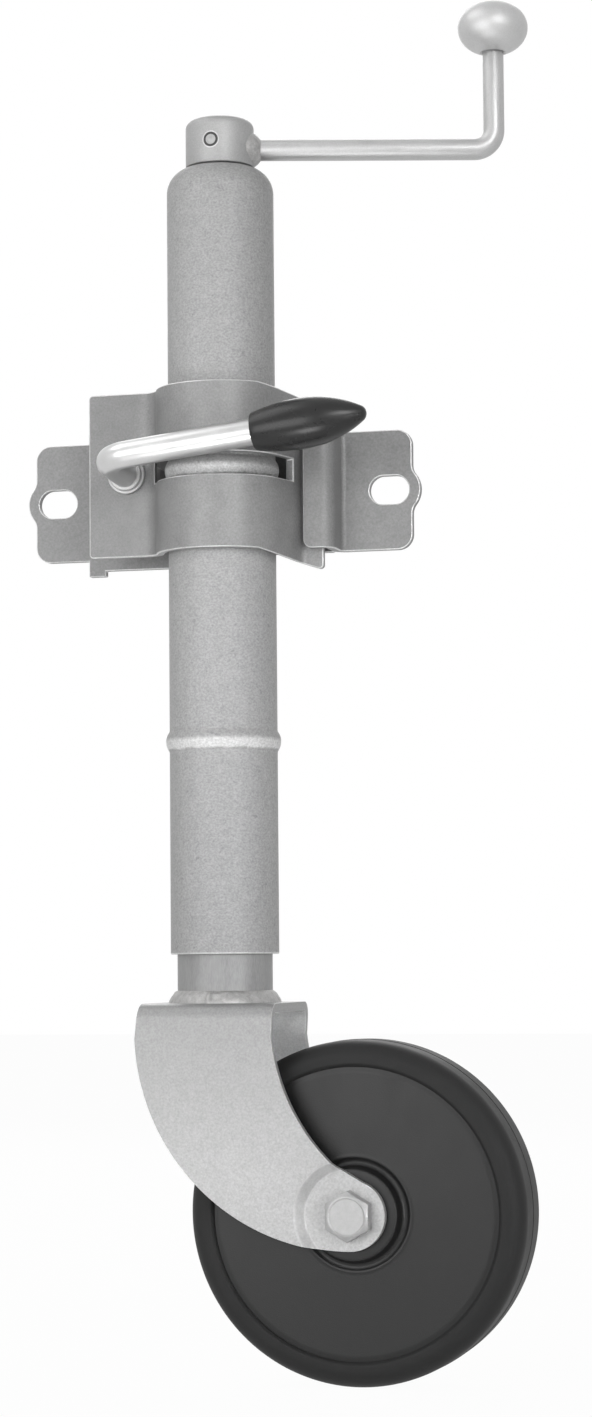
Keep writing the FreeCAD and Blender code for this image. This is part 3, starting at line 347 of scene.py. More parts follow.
@dataclass(frozen=True)
class Moulded:
    """Rubber or plastic from a mould, with fine erosion grain and faint scuffs."""

    name: str
    tone: float
    roughness: float
    grain_size: float
    grain_depth: float
    scuff: float = 0.25
    gloss: float = 0.5
    darkest: float = 0.8
    lightest: float = 1.3
    rough_swing: float = 0.05
    cloud_size: float = 14.0
    scuff_size: float = 2.5

    def material(self) -> Finish:
        """Build the finish.

        Returns:
            The material.
        """
        graph = Surface(self.name)
        grain = graph.noise(self.grain_size, 2.0)
        cloud = graph.noise(self.cloud_size, 4.0)
        scuff = graph.noise(self.scuff_size, 5.0, (1.0, 1.0, 5.0)).span(*SCUFF_RANGE)
        mixed = cloud.span(*CLOUD_RANGE, 0.0, 0.5) + grain.span(*CLOUD_RANGE, 0.0, 0.3) + scuff * self.scuff
        return graph.finish(
            Base_Color=graph.blend(mixed, grey(self.tone * self.darkest), grey(self.tone * self.lightest)),
            Roughness=cloud.around(self.roughness, self.rough_swing),
            Specular_IOR_Level=self.gloss,
            Normal=graph.bump(grain, self.grain_depth),
        )


@dataclass(frozen=True)
class Bronze:
    """Turned bronze or stamped brass, with fine tool lines round the stem's axis."""

    name: str
    colour: tuple[float, float, float]
    roughness: float = 0.32
    rough_swing: float = 0.12
    line_size: float = 0.35
    line_depth: float = 0.01
    cloud_size: float = 6.0
    darkest: float = 0.8

    def material(self) -> Finish:
        """Build the finish.

        Returns:
            The material.
        """
        graph = Surface(self.name)
        lines = graph.noise(self.line_size, 1.0, (40.0, 40.0, 1.0))
        cloud = graph.noise(self.cloud_size, 3.0)
        mixed = lines.span(*CLOUD_RANGE, 0.0, 0.5) + cloud.span(*CLOUD_RANGE, 0.0, 0.5)
        dark = tuple(part * self.darkest for part in self.colour)
        return graph.finish(
            Base_Color=graph.blend(mixed, dark, self.colour),
            Metallic=1.0,
            Roughness=cloud.span(*CLOUD_RANGE, self.roughness, self.roughness + self.rough_swing),
            Normal=graph.bump(lines, self.line_depth),
        )


def made(recipe: Union[Steel, Moulded, Bronze]) -> Finish:
    """Field of a set that is made from its recipe when the set is."""
    return field(default_factory=recipe.material)


@dataclass(frozen=True)
class FinishSet:
    """Every finish of the object, each made once."""

    # Painted highlight: lighter bands on the lower flanks of both ribs.
    tube: Finish = made(Steel(
        "galvanised_tube", 0.40, metallic=0.1, roughness=0.56, gloss=0.35, cloud=0.06, cloud_size=5.0,
        grain=0.24, grain_size=1.0, grain_depth=0.05, pits=0.25, stretch=(1.0, 1.0, 0.8),
        light_bands=((-118.0, -113.6), (4.0, 8.4))))
    leg: Finish = made(Steel(
        "wiped_leg_tube", 0.32, metallic=0.2, roughness=0.5, cloud_size=5.0, grain=0.12, grain_size=0.5,
        stretch=(1.0, 1.0, 5.0)))
    sheet: Finish = made(Steel(
        "zinc_sheet", 0.245, metallic=0.25, roughness=0.5, cloud=0.09, grain=0.16, grain_size=0.9,
        grain_depth=0.025, pits=0.1))
    # Painted light: the saddle and the part right of it are painted lighter.
    plate: Finish = made(Steel(
        "zinc_clamp_plate", 0.225, metallic=0.25, roughness=0.48, grain=0.16, grain_size=0.9,
        grain_depth=0.025, pits=0.1, light_bands=((-29.0, 58.0),), light_band_axis="X", light_band_fade=8.0,
        lit_tone=0.268))
    # Painted light: the fork is painted lighter towards its lower end.
    fork: Finish = made(Steel(
        "zinc_fork", 0.33, metallic=0.3, roughness=0.46, cloud=0.05, cloud_size=7.0, grain=0.16,
        grain_size=0.9, light_bands=((-420.0, -270.0),), light_band_fade=36.0, lit_tone=0.50))
    # Painted light: lighter zinc on the slopes of the cheeks' pressings, to lift their shade.
    pressed: Finish = made(Steel(
        "zinc_pressing_lit", 0.56, metallic=0.35, roughness=0.40, cloud=0.08, cloud_size=5.0, grain_size=0.9))
    # Painted light: a lighter copy of the fork's zinc for the cheeks' inner faces, which lie in shade.
    fork_inside_lit: Finish = made(Steel(
        "zinc_fork_inside_lit", 0.85, metallic=0.3, roughness=0.46, cloud=0.06, cloud_size=7.0, grain=0.12,
        grain_size=0.8))
    boss: Finish = made(Steel(
        "zinc_boss", 0.42, metallic=0.3, roughness=0.5, cloud=0.06, grain=0.12, grain_size=0.6,
        grain_depth=0.015))
    crank: Finish = made(Steel(
        "zinc_crank", 0.48, metallic=0.7, roughness=0.44, cloud=0.06, grain=0.08, grain_size=0.5,
        grain_depth=0.012))
    knob: Finish = made(Steel(
        "zinc_knob", 0.55, metallic=0.7, roughness=0.48, cloud=0.05, grain=0.06, grain_size=0.6,
        grain_depth=0.012))
    bright: Finish = made(Steel(
        "bright_rod", 0.60, metallic=0.9, roughness=0.34, cloud=0.04, grain=0.03, grain_size=0.6,
        grain_depth=0.0005))
    fastener: Finish = made(Steel(
        "zinc_fastener", 0.42, metallic=0.5, cloud=0.08, cloud_size=3.0, grain=0.06, grain_size=0.4,
        grain_depth=0.012))
    # Painted highlight along the fork's eased cut edges.
    edge_highlight: Finish = made(Steel(
        "painted_edge_highlight", 0.82, metallic=0.6, roughness=0.38, cloud=0.08, cloud_size=4.0, grain=0.08,
        grain_size=0.6, grain_depth=0.01))
    # Painted highlight on the sheet pieces' eased cut edges, the ring round the tube's lower rim and the
    # rings round the boss pin.
    sheet_edge_highlight: Finish = made(Steel(
        "painted_sheet_edge_highlight", 0.62, metallic=0.5, roughness=0.4, cloud=0.12, cloud_size=3.0, grain=0.12,
        grain_size=0.6, grain_depth=0.01))
    # Painted shade: a dark ring that stands for the shaded gap round the boss pin.
    joint: Finish = made(Steel("painted_gap_shade", 0.06, metallic=0.2, roughness=0.7, cloud=0.08))
    weld: Finish = made(Steel(
        "weld_bead", 0.42, metallic=0.4, cloud=0.20, cloud_size=2.5, grain=0.14, grain_size=0.5,
        grain_depth=0.05, warmth=0.01))
    hard: Finish = made(Steel(
        "oiled_steel", 0.40, metallic=1.0, roughness=0.28, cloud=0.06, grain=0.05, grain_size=0.3,
        grain_depth=0.006))
    grip: Finish = made(Moulded("black_grip", 0.015, 0.29, 0.5, 0.008, scuff=0.1, gloss=0.36))
    rubber: Finish = made(Moulded("black_rubber", 0.014, 0.6, 0.6, 0.05, gloss=0.3))
    disc: Finish = made(Moulded("wheel_disc", 0.009, 0.40, 0.6, 0.05, gloss=0.4))
    nylon: Finish = made(Moulded("nylon_ring", 0.6, 0.45, 0.4, 0.01, scuff=0.0))
    bronze: Finish = made(Bronze("turned_bronze", (0.55, 0.36, 0.16)))
    brass: Finish = made(Bronze("stamped_brass", (0.72, 0.56, 0.26)))


@dataclass(frozen=True)
class Corner:
    """One point of a profile: distance from the axis, place along it, and its rounding."""

    radius: float
    along: float
    rounding: float = 0.0
    steps: int = 3


def mirrored(corners: Sequence[Corner]) -> list[Corner]:
    """The same profile on the other side of the middle, in reverse order."""
    return [replace(corner, along=-corner.along) for corner in reversed(corners)]


def spun_mesh(corners: Sequence[Corner], steps: int = 96, closed: bool = True) -> BMesh:
    """Spin a profile round the local Z axis.

    Args:
        corners: the profile, in order, with roundings.
        steps: number of facets round the axis.
        closed: whether the last corner joins the first; an open profile starts and ends on the axis.

    Returns:
        The closed shell, in metres.
    """
    mesh = bmesh.new()
    points = [mesh.verts.new((corner.radius * MM, 0.0, corner.along * MM)) for corner in corners]
    pairs = list(zip(points, points[1:]))
    if closed:
        pairs.append((points[-1], points[0]))
    for first, second in pairs:
        mesh.edges.new((first, second))
    for point, corner in zip(points, corners):
        if corner.rounding > 0:
            bmesh.ops.bevel(
                mesh, geom=[point], offset=corner.rounding * MM, affect="VERTICES", segments=corner.steps,
                profile=0.5, material=-1)
    geometry = mesh.verts[:] + mesh.edges[:]
    bmesh.ops.spin(
        mesh, geom=geometry, cent=(0, 0, 0), axis=(0, 0, 1), angle=math.tau, steps=steps, use_merge=True)
    bmesh.ops.remove_doubles(mesh, verts=mesh.verts, dist=SAME_POINT)
    bmesh.ops.recalc_face_normals(mesh, faces=mesh.faces)
    return mesh


def turn_to(mesh: BMesh, axis: Vector, centre: Vector) -> BMesh:
    """Lay a mesh's local Z along an axis, and move its origin to a centre.

    Args:
        mesh: mesh drawn round the local Z.
        axis: direction that Z is laid along.
        centre: where the origin goes, in metres.

    Returns:
        The same mesh.
    """
    turn = Vector((0, 0, 1)).rotation_difference(axis).to_matrix().to_4x4()
    bmesh.ops.transform(mesh, matrix=Matrix.Translation(centre) @ turn, verts=mesh.verts)
    return mesh


def add_piece(
        name: str, mesh: BMesh, material: Finish, crease: Optional[float] = CREASE,
        more: Sequence[Finish] = ()) -> bpy.types.Object:
    """Make an object of a mesh, smooth except at creases, and free the mesh.

    Args:
        name: the piece's name.
        mesh: its shape, already in place.
        material: its finish.
        crease: angle in degrees from which an edge stays sharp, or None to keep the mesh's own marks.
        more: finishes of the faces with material index 1 and up.

    Returns:
        The new object.
    """
    data = bpy.data.meshes.new(name)
    mesh.to_mesh(data)
    mesh.free()
    if crease is not None:
        data.shade_smooth()
        data.set_sharp_from_angle(angle=math.radians(crease))
    for finish in (material, *more):
        data.materials.append(finish)
    piece = bpy.data.objects.new(name, data)
    bpy.context.collection.objects.link(piece)
    LOG.info("%s: %d faces", name, len(data.polygons))
    return piece


def install(piece: bpy.types.Object, body: str, slot: str, *nodes: str) -> None:
    """Let a piece ride on a body and stand for CAD nodes.

    Args:
        piece: the new piece.
        body: body that it moves with.
        slot: its material slot; not used.
        nodes: CAD nodes that it replaces, if any.
    """
    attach(piece, body)
    if nodes:
        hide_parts(*nodes)


def ease(mesh: BMesh, edges: Sequence[bmesh.types.BMEdge], width: float, steps: int) -> set:
    """Bevel edges.

    Args:
        mesh: mesh that is changed.
        edges: edges to bevel.
        width: width of the bevel.
        steps: rows of facets in it.

    Returns:
        The new faces.
    """
    result = bmesh.ops.bevel(
        mesh, geom=list(edges), offset=width * MM, affect="EDGES", segments=steps, profile=0.5, material=-1,
        clamp_overlap=True)
    return set(result["faces"])


def eased_mesh(
        node: str, width: float, soft: Optional[Callable[[Vector], bool]] = None,
        soft_width: float = 2.0) -> BMesh:
    """Copy a CAD node's shape and ease its sharp edges.

    Args:
        node: name of the CAD node.
        width: width of the easing.
        soft: tells for a point whether it lies on an edge that is pressed softly, not cut.
        soft_width: width of the easing of those edges.

    Returns:
        The eased shape; its easings have material index 1, and its flat faces are marked off from them.
    """
    limit, soft_steps, cut_steps = math.radians(CREASE), 6, 3
    mesh = bmesh.new()
    mesh.from_mesh(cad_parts[node].data)
    bmesh.ops.remove_doubles(mesh, verts=mesh.verts, dist=SAME_POINT)
    bmesh.ops.dissolve_limit(mesh, angle_limit=math.radians(FLAT), verts=mesh.verts, edges=mesh.edges)

    def sharp_edges() -> list[bmesh.types.BMEdge]:
        """Edges that are bent by more than the limit."""
        return [edge for edge in mesh.edges if edge.is_manifold and edge.calc_face_angle() > limit]

    pressed = set()
    if soft:
        bent = [edge for edge in sharp_edges() if all(soft(point.co) for point in edge.verts)]
        pressed = ease(mesh, bent, soft_width, soft_steps)
    eased = ease(mesh, sharp_edges(), width, cut_steps)
    for face in mesh.faces:
        face.smooth = True
        face.material_index = 1 if face in eased and face not in pressed else 0
    for edge in mesh.edges:
        sides = [face in eased for face in edge.link_faces]
        edge.smooth = len(sides) == 2 and sides[0] == sides[1] and edge.calc_face_angle() < limit
    return mesh


def eased_piece(
        node: str, body: str, slot: str, finish: Finish, edges: Finish,
        width: float) -> None:
    """Stand an eased copy in for a CAD node, with a finish of their own on the eased edges."""
    piece = add_piece(node + "_eased", eased_mesh(node, width), finish, None, [edges])
    install(piece, body, slot, node)


def dress(node: str, material: Finish) -> None:
    """Give a CAD node that stays in view its finish.

    Args:
        node: name of the CAD node.
        material: its finish.
    """
    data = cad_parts[node].data
    data.materials.clear()
    data.materials.append(material)
    LOG.info("%s: dressed", node)


@dataclass(frozen=True)
class Lump:
    """Thicker place on a weld bead, where the torch started or stopped."""

    angle: float
    half_angle: float
    height: float

    def at(self, angle: float) -> float:
        """Height of the lump at an angle."""
        off = abs((angle - self.angle + math.pi) % math.tau - math.pi) / self.half_angle
        return self.height * (1 - off ** 2) ** 2 if off < 1 else 0.0


def bead_section(radius: float, base: float, wide: float, tall: float) -> list[Corner]:
    """Section of a fillet bead round a rod: it slopes from the base up to the rod, a little full.

    Args:
        radius: radius of the rod.
        base: place of the face that it lies on.
        wide: how far it reaches over that face.
        tall: how far it climbs the rod.

    Returns:
        The section, its buried corner first.
    """
    steps, fullness = 10, 0.35
    corners = [Corner(radius, base)]
    for k in range(steps + 1):
        share = k / steps
        full = fullness * math.sin(math.pi * share)
        corners.append(Corner(radius + wide * (1 - share) + full, base + tall * share + full))
    return corners


def ring_bead(corners: Sequence[Corner], depth: float, lumps: Sequence[Lump] = ()) -> BMesh:
    """Weld bead in a ring round the local Z, with an uneven surface.

    Args:
        corners: section of the bead; its first corner is the buried one.
        depth: height of the unevenness.
        lumps: thicker places.

    Returns:
        The uneven ring.
    """
    ripple, swell_size, lean = 0.45, 0.16, 0.7
    mesh = spun_mesh(corners, steps=240)
    inner = corners[0]
    seated = 10 * SAME_POINT
    for vertex in mesh.verts:
        radius = math.hypot(vertex.co.x, vertex.co.y)
        rise = vertex.co.z - inner.along * MM
        if radius < inner.radius * MM + seated or abs(rise) < seated:
            continue
        place = vertex.co / MM
        rough = noise.fractal(place * ripple, 0.9, 2.1, 4) + 0.5 * noise.noise(place * swell_size)
        swell = rough * depth + sum(lump.at(math.atan2(place.y, place.x)) for lump in lumps)
        outward = Vector((vertex.co.x / radius, vertex.co.y / radius, math.copysign(lean, rise)))
        vertex.co += outward * max(swell, -depth) * MM
    return mesh


def skin(rings: Sequence[Sequence[Vector]], loop: bool = False) -> BMesh:
    """Stretch faces from ring to ring.

    Args:
        rings: rings of points in millimetres, all with the same number of points.
        loop: whether the last ring joins the first; otherwise both ends get a flat cap.

    Returns:
        The closed shell, in metres.
    """
    mesh = bmesh.new()
    rows = [[mesh.verts.new(point * MM) for point in ring] for ring in rings]
    pairs = list(zip(rows, rows[1:]))
    if loop:
        pairs.append((rows[-1], rows[0]))
    for row, following in pairs:
        for i, point in enumerate(row):
            j = (i + 1) % len(row)
            mesh.faces.new((point, row[j], following[j], following[i]))
    if not loop:
        mesh.faces.new(rows[0][::-1])
        mesh.faces.new(rows[-1])
    bmesh.ops.recalc_face_normals(mesh, faces=mesh.faces)
    return mesh


def flat_ring(radius: Callable[[float], float], along: float, steps: int = 96) -> list[Vector]:
    """Ring round the local Z at one height, whose radius follows the angle."""
    angles = [math.tau * i / steps for i in range(steps)]
    return [Vector((radius(a) * math.cos(a), radius(a) * math.sin(a), along)) for a in angles]


def round_ring(radius: float, along: float) -> list[Vector]:
    """Round ring round the local Z at one height."""
    return flat_ring(lambda angle: radius, along)


def thread_mesh(
        radius: float, low: float, high: float, pitch: float, depth: float, steps: int = 40,
        run_out: float = 0.0) -> BMesh:
    """Rod round the local Z with a screw thread cut in it.

    Args:
        radius: radius over the crests.
        low: start of the rod.
        high: end of the rod.
        pitch: distance from crest to crest.
        depth: depth of the thread.
        steps: facets round the rod.
        run_out: length at the low end in which the thread rises to its full size.

    Returns:
        The threaded rod, in metres.
    """
    least, turn_rings, steepness, root = 0.05, 8, 2.4, 0.8
    count = max(int((high - low) / pitch * turn_rings), turn_rings)
    rings = []
    for k in range(count + 1):
        along = low + (high - low) * k / count
        lead = min(1.0, (along - low + least) / max(run_out, least))

        def surface(angle: float, along: float = along, lead: float = lead) -> float:
            """Radius of the thread's flank at an angle."""
            phase = (along / pitch + angle / math.tau) % 1.0
            flank = min(abs(phase - 0.5) * steepness, 1.0)
            return radius - depth * (1.0 - flank) - depth * root * (1.0 - lead) * flank

        rings.append(flat_ring(surface, along, steps))
    return skin(rings)


def hexagon_rings(flats: float, low: float, high: float, rim: float) -> list[list[Vector]]:
    """Rings of a hexagon whose corners at the high end are taken off by a flat cone.

    Args:
        flats: distance across the flats.
        low: place of the plain end.
        high: place of the chamfered end.
        rim: radius of the round face at the high end.

    Returns:
        The rings, from the low end to the high one.
    """
    side, steps = math.tau / 6, 6
    corner = flats / math.sqrt(3) + 0.1
    slope = math.tan(math.radians(30))
    limits = [corner + (rim - corner) * k / steps for k in range(steps + 1)]
    rings = []
    for limit, along in [(corner, low)] + [(limit, high - (limit - rim) * slope) for limit in limits]:

        def surface(angle: float, limit: float = limit) -> float:
            """Distance to the nearest flat, or the limit of the cone."""
            return min(flats / 2 / math.cos((angle + side / 2) % side - side / 2), limit)

        rings.append(flat_ring(surface, along))
    return rings


def bent_path(corners: Sequence[Vector], bend: float) -> list[Vector]:
    """Points along straight runs with an arc at each inner corner.

    Args:
        corners: the corners of the path, in millimetres.
        bend: radius of the arcs.

    Returns:
        The points in order.
    """
    steps = 14
    points = [corners[0]]
    for before, corner, after in zip(corners, corners[1:], corners[2:]):
        back, ahead = (before - corner).normalized(), (after - corner).normalized()
        half = back.angle(ahead) / 2
        centre = corner + (back + ahead).normalized() * bend / math.sin(half)
        first = corner + back * bend / math.tan(half) - centre
        last = corner + ahead * bend / math.tan(half) - centre
        axis, turn = first.cross(last).normalized(), first.angle(last)
        points += [centre + Matrix.Rotation(turn * k / steps, 3, axis) @ first for k in range(steps + 1)]
    return points + [corners[-1]]


def rod_mesh(points: Sequence[Vector], radius: float, rounding: float) -> BMesh:
    """Round rod along points, with eased ends.

    Args:
        points: the rod's middle line, in millimetres.
        radius: radius of the rod.
        rounding: rounding of both ends.

    Returns:
        The rod, in metres.
    """
    steps, shoulder = 40, rounding * 0.3
    angles = [math.tau * i / steps for i in range(steps)]
    way = [(points[1] - points[0]).normalized()]
    way += [(after - before).normalized() for before, after in zip(points, points[2:])]
    way.append((points[-1] - points[-2]).normalized())
    start = [(radius - rounding, 0.0), (radius - shoulder, shoulder), (radius, rounding)]
    ends = {0: start, len(points) - 1: [(reach, -shift) for reach, shift in reversed(start)]}
    side = way[0].orthogonal().normalized()
    rings = []
    for k, (point, direction) in enumerate(zip(points, way)):
        if k:
            side = way[k - 1].rotation_difference(direction) @ side
        side = (side - direction * side.dot(direction)).normalized()
        across = direction.cross(side)
        arms = [side * math.cos(a) + across * math.sin(a) for a in angles]
        for reach, shift in ends.get(k, [(radius, 0.0)]):
            rings.append([point + arm * reach + direction * shift for arm in arms])
    return skin(rings)


def merge(*meshes: BMesh) -> BMesh:
    """Put several closed shells in one mesh and free the others.

    Args:
        meshes: closed shells.

    Returns:
        The first mesh, with all the shells in it.
    """
    first = meshes[0]
    for mesh in meshes[1:]:
        data = bpy.data.meshes.new("part")
        mesh.to_mesh(data)
        mesh.free()
        first.from_mesh(data)
        bpy.data.meshes.remove(data)
    return first


@dataclass
class Wheel:
    """Solid tyre pressed on a moulded disc with a raised hub."""

    outer: float = 74.99
    half_width: float = 20.5
    shoulder: float = 8.0
    seam: float = 1.3
    disc: float = 63.4
    disc_half: float = 19.1
    hub: float = 20.5
    hub_face: float = 24.5
    hub_crown: float = 0.8
    hub_root: float = 24.6
    groove: float = 0.6
    ring_wide: float = 1.3
    ring_proud: float = 0.3
    lip: float = 0.9
    lip_slope: float = 1.2
    lip_drop: float = 0.25
    key: float = 4.0
    key_half: float = 8.5
    bush: float = 11.56
    moulding_line: float = 0.2
    facets: int = 180

    def tyre_profile(self) -> list[Corner]:
        """Section of the tyre, with a moulding line round its tread and a soft shoulder.

        Returns:
            The profile, in order.
        """
        half, disc, line = self.half_width, self.disc, self.moulding_line
        tread = self.outer - line
        front = [
            Corner(disc, self.seam - half), Corner(disc + 0.3, 0.9 - half, 0.2),
            Corner(disc + self.seam, -half, 0.5, 5), Corner(tread, -half, self.shoulder, 12),
            Corner(tread, -line * 2), Corner(self.outer, -line),
        ]
        return front + mirrored(front) + self.key_profile()

    def key_profile(self) -> list[Corner]:
        """The groove in the disc that holds the tyre, from back to front."""
        back = [Corner(self.disc, self.key_half), Corner(self.disc - self.key, self.key_half)]
        return back + mirrored(back)

    def disc_side(self) -> list[Corner]:
        """Corners of the disc's back, from its bore outwards; its front is the same.

        Returns:
            The corners, in order.
        """
        face, lip = self.disc_half, self.disc - self.lip
        floor = face - self.lip_drop
        return [
            Corner(self.bush, self.hub_face, 0.4), Corner(self.hub - self.hub_crown, self.hub_face, 0.8, 5),
            Corner(self.hub + self.groove, face - self.groove, 1.6, 6),
            Corner(self.hub_root - self.ring_wide, face - self.groove, 0.8),
            Corner(self.hub_root, face + self.ring_proud, 0.7, 6),
            Corner(self.hub_root + self.ring_wide, face, 0.6, 6),
            Corner(lip - self.lip_slope, face, 0.8, 6), Corner(lip, floor, 0.3),
            Corner(self.disc, floor - 0.1),
        ]

    def build(self, finishes: FinishSet) -> None:
        """Build the wheel's pieces.

        Args:
            finishes: the object's finishes.
        """
        tyre = turn_to(spun_mesh(self.tyre_profile(), self.facets), Axis.BACK.value, AXLE_CENTRE)
        install(add_piece("tyre_shell", tyre, finishes.rubber), "wheel", "black_rubber", "tyre")
        side = self.disc_side()
        profile = side + self.key_profile() + mirrored(side)
        disc = turn_to(spun_mesh(profile, self.facets), Axis.BACK.value, AXLE_CENTRE)
        install(add_piece("wheel_disc", disc, finishes.disc), "wheel", "wheel_plastic", "wheel_rim")
        dress("hub_bush", finishes.bronze)


@dataclass
class Caster:
    """Leg, fork and axle."""

    leg_radius: float = 21.2
    web_top: float = -21.5
    weld_wide: float = 4.0
    weld_tall: float = 5.5
    weld_start: float = math.radians(-92.0)
    pressing: tuple[float, float] = (20.0, 24.0)
    shank: float = 6.0
    flats: float = 19.0
    bevel_rim: float = 9.3
    eye_face: float = 28.8
    head_tall: float = 7.0
    head_dish: tuple[tuple[float, float], ...] = ((8.1, -0.05), (7.6, 0.25))
    head_seat: float = 0.4
    washer: float = 12.0
    washer_tall: float = 2.5
    nut_tall: float = 11.0
    hexagon_tall: float = 8.2
    crown: float = 8.0
    pocket: float = 6.8
    pocket_deep: float = 1.2
    bolt_end: float = 3.0
    thread_long: float = 16.0
    pitch: float = 1.75
    thread: float = 0.9
    point_long: float = 1.2
    point_taper: float = 0.14

    @staticmethod
    def axle_piece(name: str, mesh: BMesh, material: Finish, *nodes: str) -> None:
        """Lay a piece drawn round the local Z along the axle, its low end to the front."""
        piece = add_piece(name, turn_to(mesh, Axis.BACK.value, AXLE_CENTRE), material)
        install(piece, "caster", "zinc_steel", *nodes)

    def build_bolt(self, finishes: FinishSet) -> None:
        """Hexagon bolt through the cheeks, with its thread showing past the nut.

        Args:
            finishes: the object's finishes.
        """
        under, seat, shank = -self.eye_face, self.head_seat, self.shank
        top = self.eye_face + self.head_tall
        rings = hexagon_rings(self.flats, seat - under, top, self.bevel_rim - 0.7)
        rings += [round_ring(radius, top - sink) for radius, sink in self.head_dish]
        head = skin([[Vector((point.x, point.y, -point.z)) for point in ring] for ring in rings])
        rim, base = self.bevel_rim - 0.4, under - seat
        collar = [Corner(0.0, base), Corner(rim, base), Corner(rim, under), Corner(0.0, under)]
        tip = self.eye_face + self.washer_tall + self.nut_tall + self.bolt_end
        foot, plain = under - 0.5, tip - self.thread_long
        rod = [Corner(0.0, foot), Corner(shank, foot), Corner(shank, plain, 0.3), Corner(0.0, plain)]
        thread = thread_mesh(shank, plain - 0.3, tip, self.pitch, self.thread)
        for vertex in thread.verts:
            lead = max(0.0, (vertex.co.z / MM - tip + self.point_long) / self.point_long)
            vertex.co.x *= 1.0 - self.point_taper * lead
            vertex.co.y *= 1.0 - self.point_taper * lead
        bolt = merge(head, spun_mesh(collar, 72, closed=False), spun_mesh(rod, 48, closed=False), thread)
        self.axle_piece("bolt_shape", bolt, finishes.fastener, "axle_bolt")

    def build_nut(self, finishes: FinishSet) -> None:
        """Locking nut: hexagon, round crown, and the nylon ring in it.

        Args:
            finishes: the object's finishes.
        """
        low = self.eye_face + self.washer_tall
        high, shelf, bore = low + self.nut_tall, low + self.hexagon_tall, self.shank + 0.02
        crown, pocket, deep = self.crown, self.pocket, self.pocket_deep
        rings = hexagon_rings(self.flats, low, shelf, self.bevel_rim)
        for radius, along in (
                (crown, shelf), (crown - 0.2, high - 0.6), (crown - 0.7, high), (pocket, high),
                (pocket, high - deep), (bore, high - deep), (bore, low)):
            rings.append(round_ring(radius, along))
        self.axle_piece("nut_shape", skin(rings, loop=True), finishes.fastener, "axle_nut")
        rim, foot, face = pocket - 0.05, high - deep + 0.1, high - 0.3
        ring = [Corner(bore, foot), Corner(rim, foot), Corner(rim, face, 0.2), Corner(bore, face, 0.2)]
        self.axle_piece("nylon_ring", spun_mesh(ring, 72), finishes.nylon)

    def build_washer(self, finishes: FinishSet) -> None:
        """Washer under the locking nut.

        Args:
            finishes: the object's finishes.
        """
        low, high, bore = self.eye_face, self.eye_face + self.washer_tall, self.shank + 0.3
        profile = [
            Corner(bore, low), Corner(self.washer, low, 0.3), Corner(self.washer, high, 0.5),
            Corner(bore, high, 0.2)]
        self.axle_piece("washer_shape", spun_mesh(profile, 72), finishes.fastener, "axle_washer")

    def build_weld(self, finishes: FinishSet) -> None:
        """Bead round the foot of the leg, with a lump in front where it was closed.

        Args:
            finishes: the object's finishes.
        """
        section = bead_section(self.leg_radius, self.web_top, self.weld_wide, self.weld_tall)
        lumps = [Lump(self.weld_start, 0.06, 0.8), Lump(self.weld_start + 0.42, 0.32, 0.35)]
        bead = turn_to(ring_bead(section, 0.3, lumps), Axis.UP.value, RIM_CENTRE)
        install(add_piece("fork_bead", bead, finishes.weld, SOFT_CREASE), "caster", "zinc_steel", "fork_weld")

    @staticmethod
    def from_axle(point: Vector) -> float:
        """Distance of a point from the axle's line."""
        return math.hypot(point.x - AXLE_CENTRE.x, point.z - AXLE_CENTRE.z) / MM

    def on_pressing(self, point: Vector) -> bool:
        """Whether a point lies on the round edges of the pressing in a cheek."""
        return any(abs(self.from_axle(point) - radius) < 0.05 for radius in self.pressing)

    def on_slope(self, face: bmesh.types.BMFace) -> bool:
        """Whether a face is part of the slope of the pressing.

        Args:
            face: face of the fork.

        Returns:
            True where it is.
        """
        inner, outer = self.pressing
        reach = self.from_axle(face.calc_center_median())
        return inner - 3.0 < reach < outer + 3.0 and 0.3 < abs(face.normal.y) < 0.995

    def build_fork(self, finishes: FinishSet) -> None:
        """Folded fork, with softly pressed eyes and eased cut edges. The eased edges, the cheeks' inner faces
        and the pressing's slopes take lighter finishes as painted light.

        Args:
            finishes: the object's finishes.
        """
        mesh = eased_mesh("fork", 0.8, soft=self.on_pressing, soft_width=2.3)
        for face in mesh.faces:
            beside = face.calc_center_median().y - RIM_CENTRE.y
            # The cheeks' inner faces get the lighter zinc: painted light.
            if face.material_index == 0 and beside * face.normal.y < 0 and abs(face.normal.y) > 0.5:
                face.material_index = 2
            # The pressing's slopes get the lighter zinc: painted light.
            elif face.material_index == 0 and self.on_slope(face):
                face.material_index = 3
        finish = [finishes.edge_highlight, finishes.fork_inside_lit, finishes.pressed]
        install(add_piece("fork_shape", mesh, finishes.fork, None, finish), "caster", "zinc_steel", "fork")

    def build(self, finishes: FinishSet) -> None:
        """Build the caster's pieces.

        Args:
            finishes: the object's finishes.
        """
        self.build_fork(finishes)
        self.build_bolt(finishes)
        self.build_nut(finishes)
        self.build_washer(finishes)
        self.build_weld(finishes)
        dress("leg_tube", finishes.leg)
        dress("axle_sleeve", finishes.hard)
        dress("swivel_pins", finishes.hard)


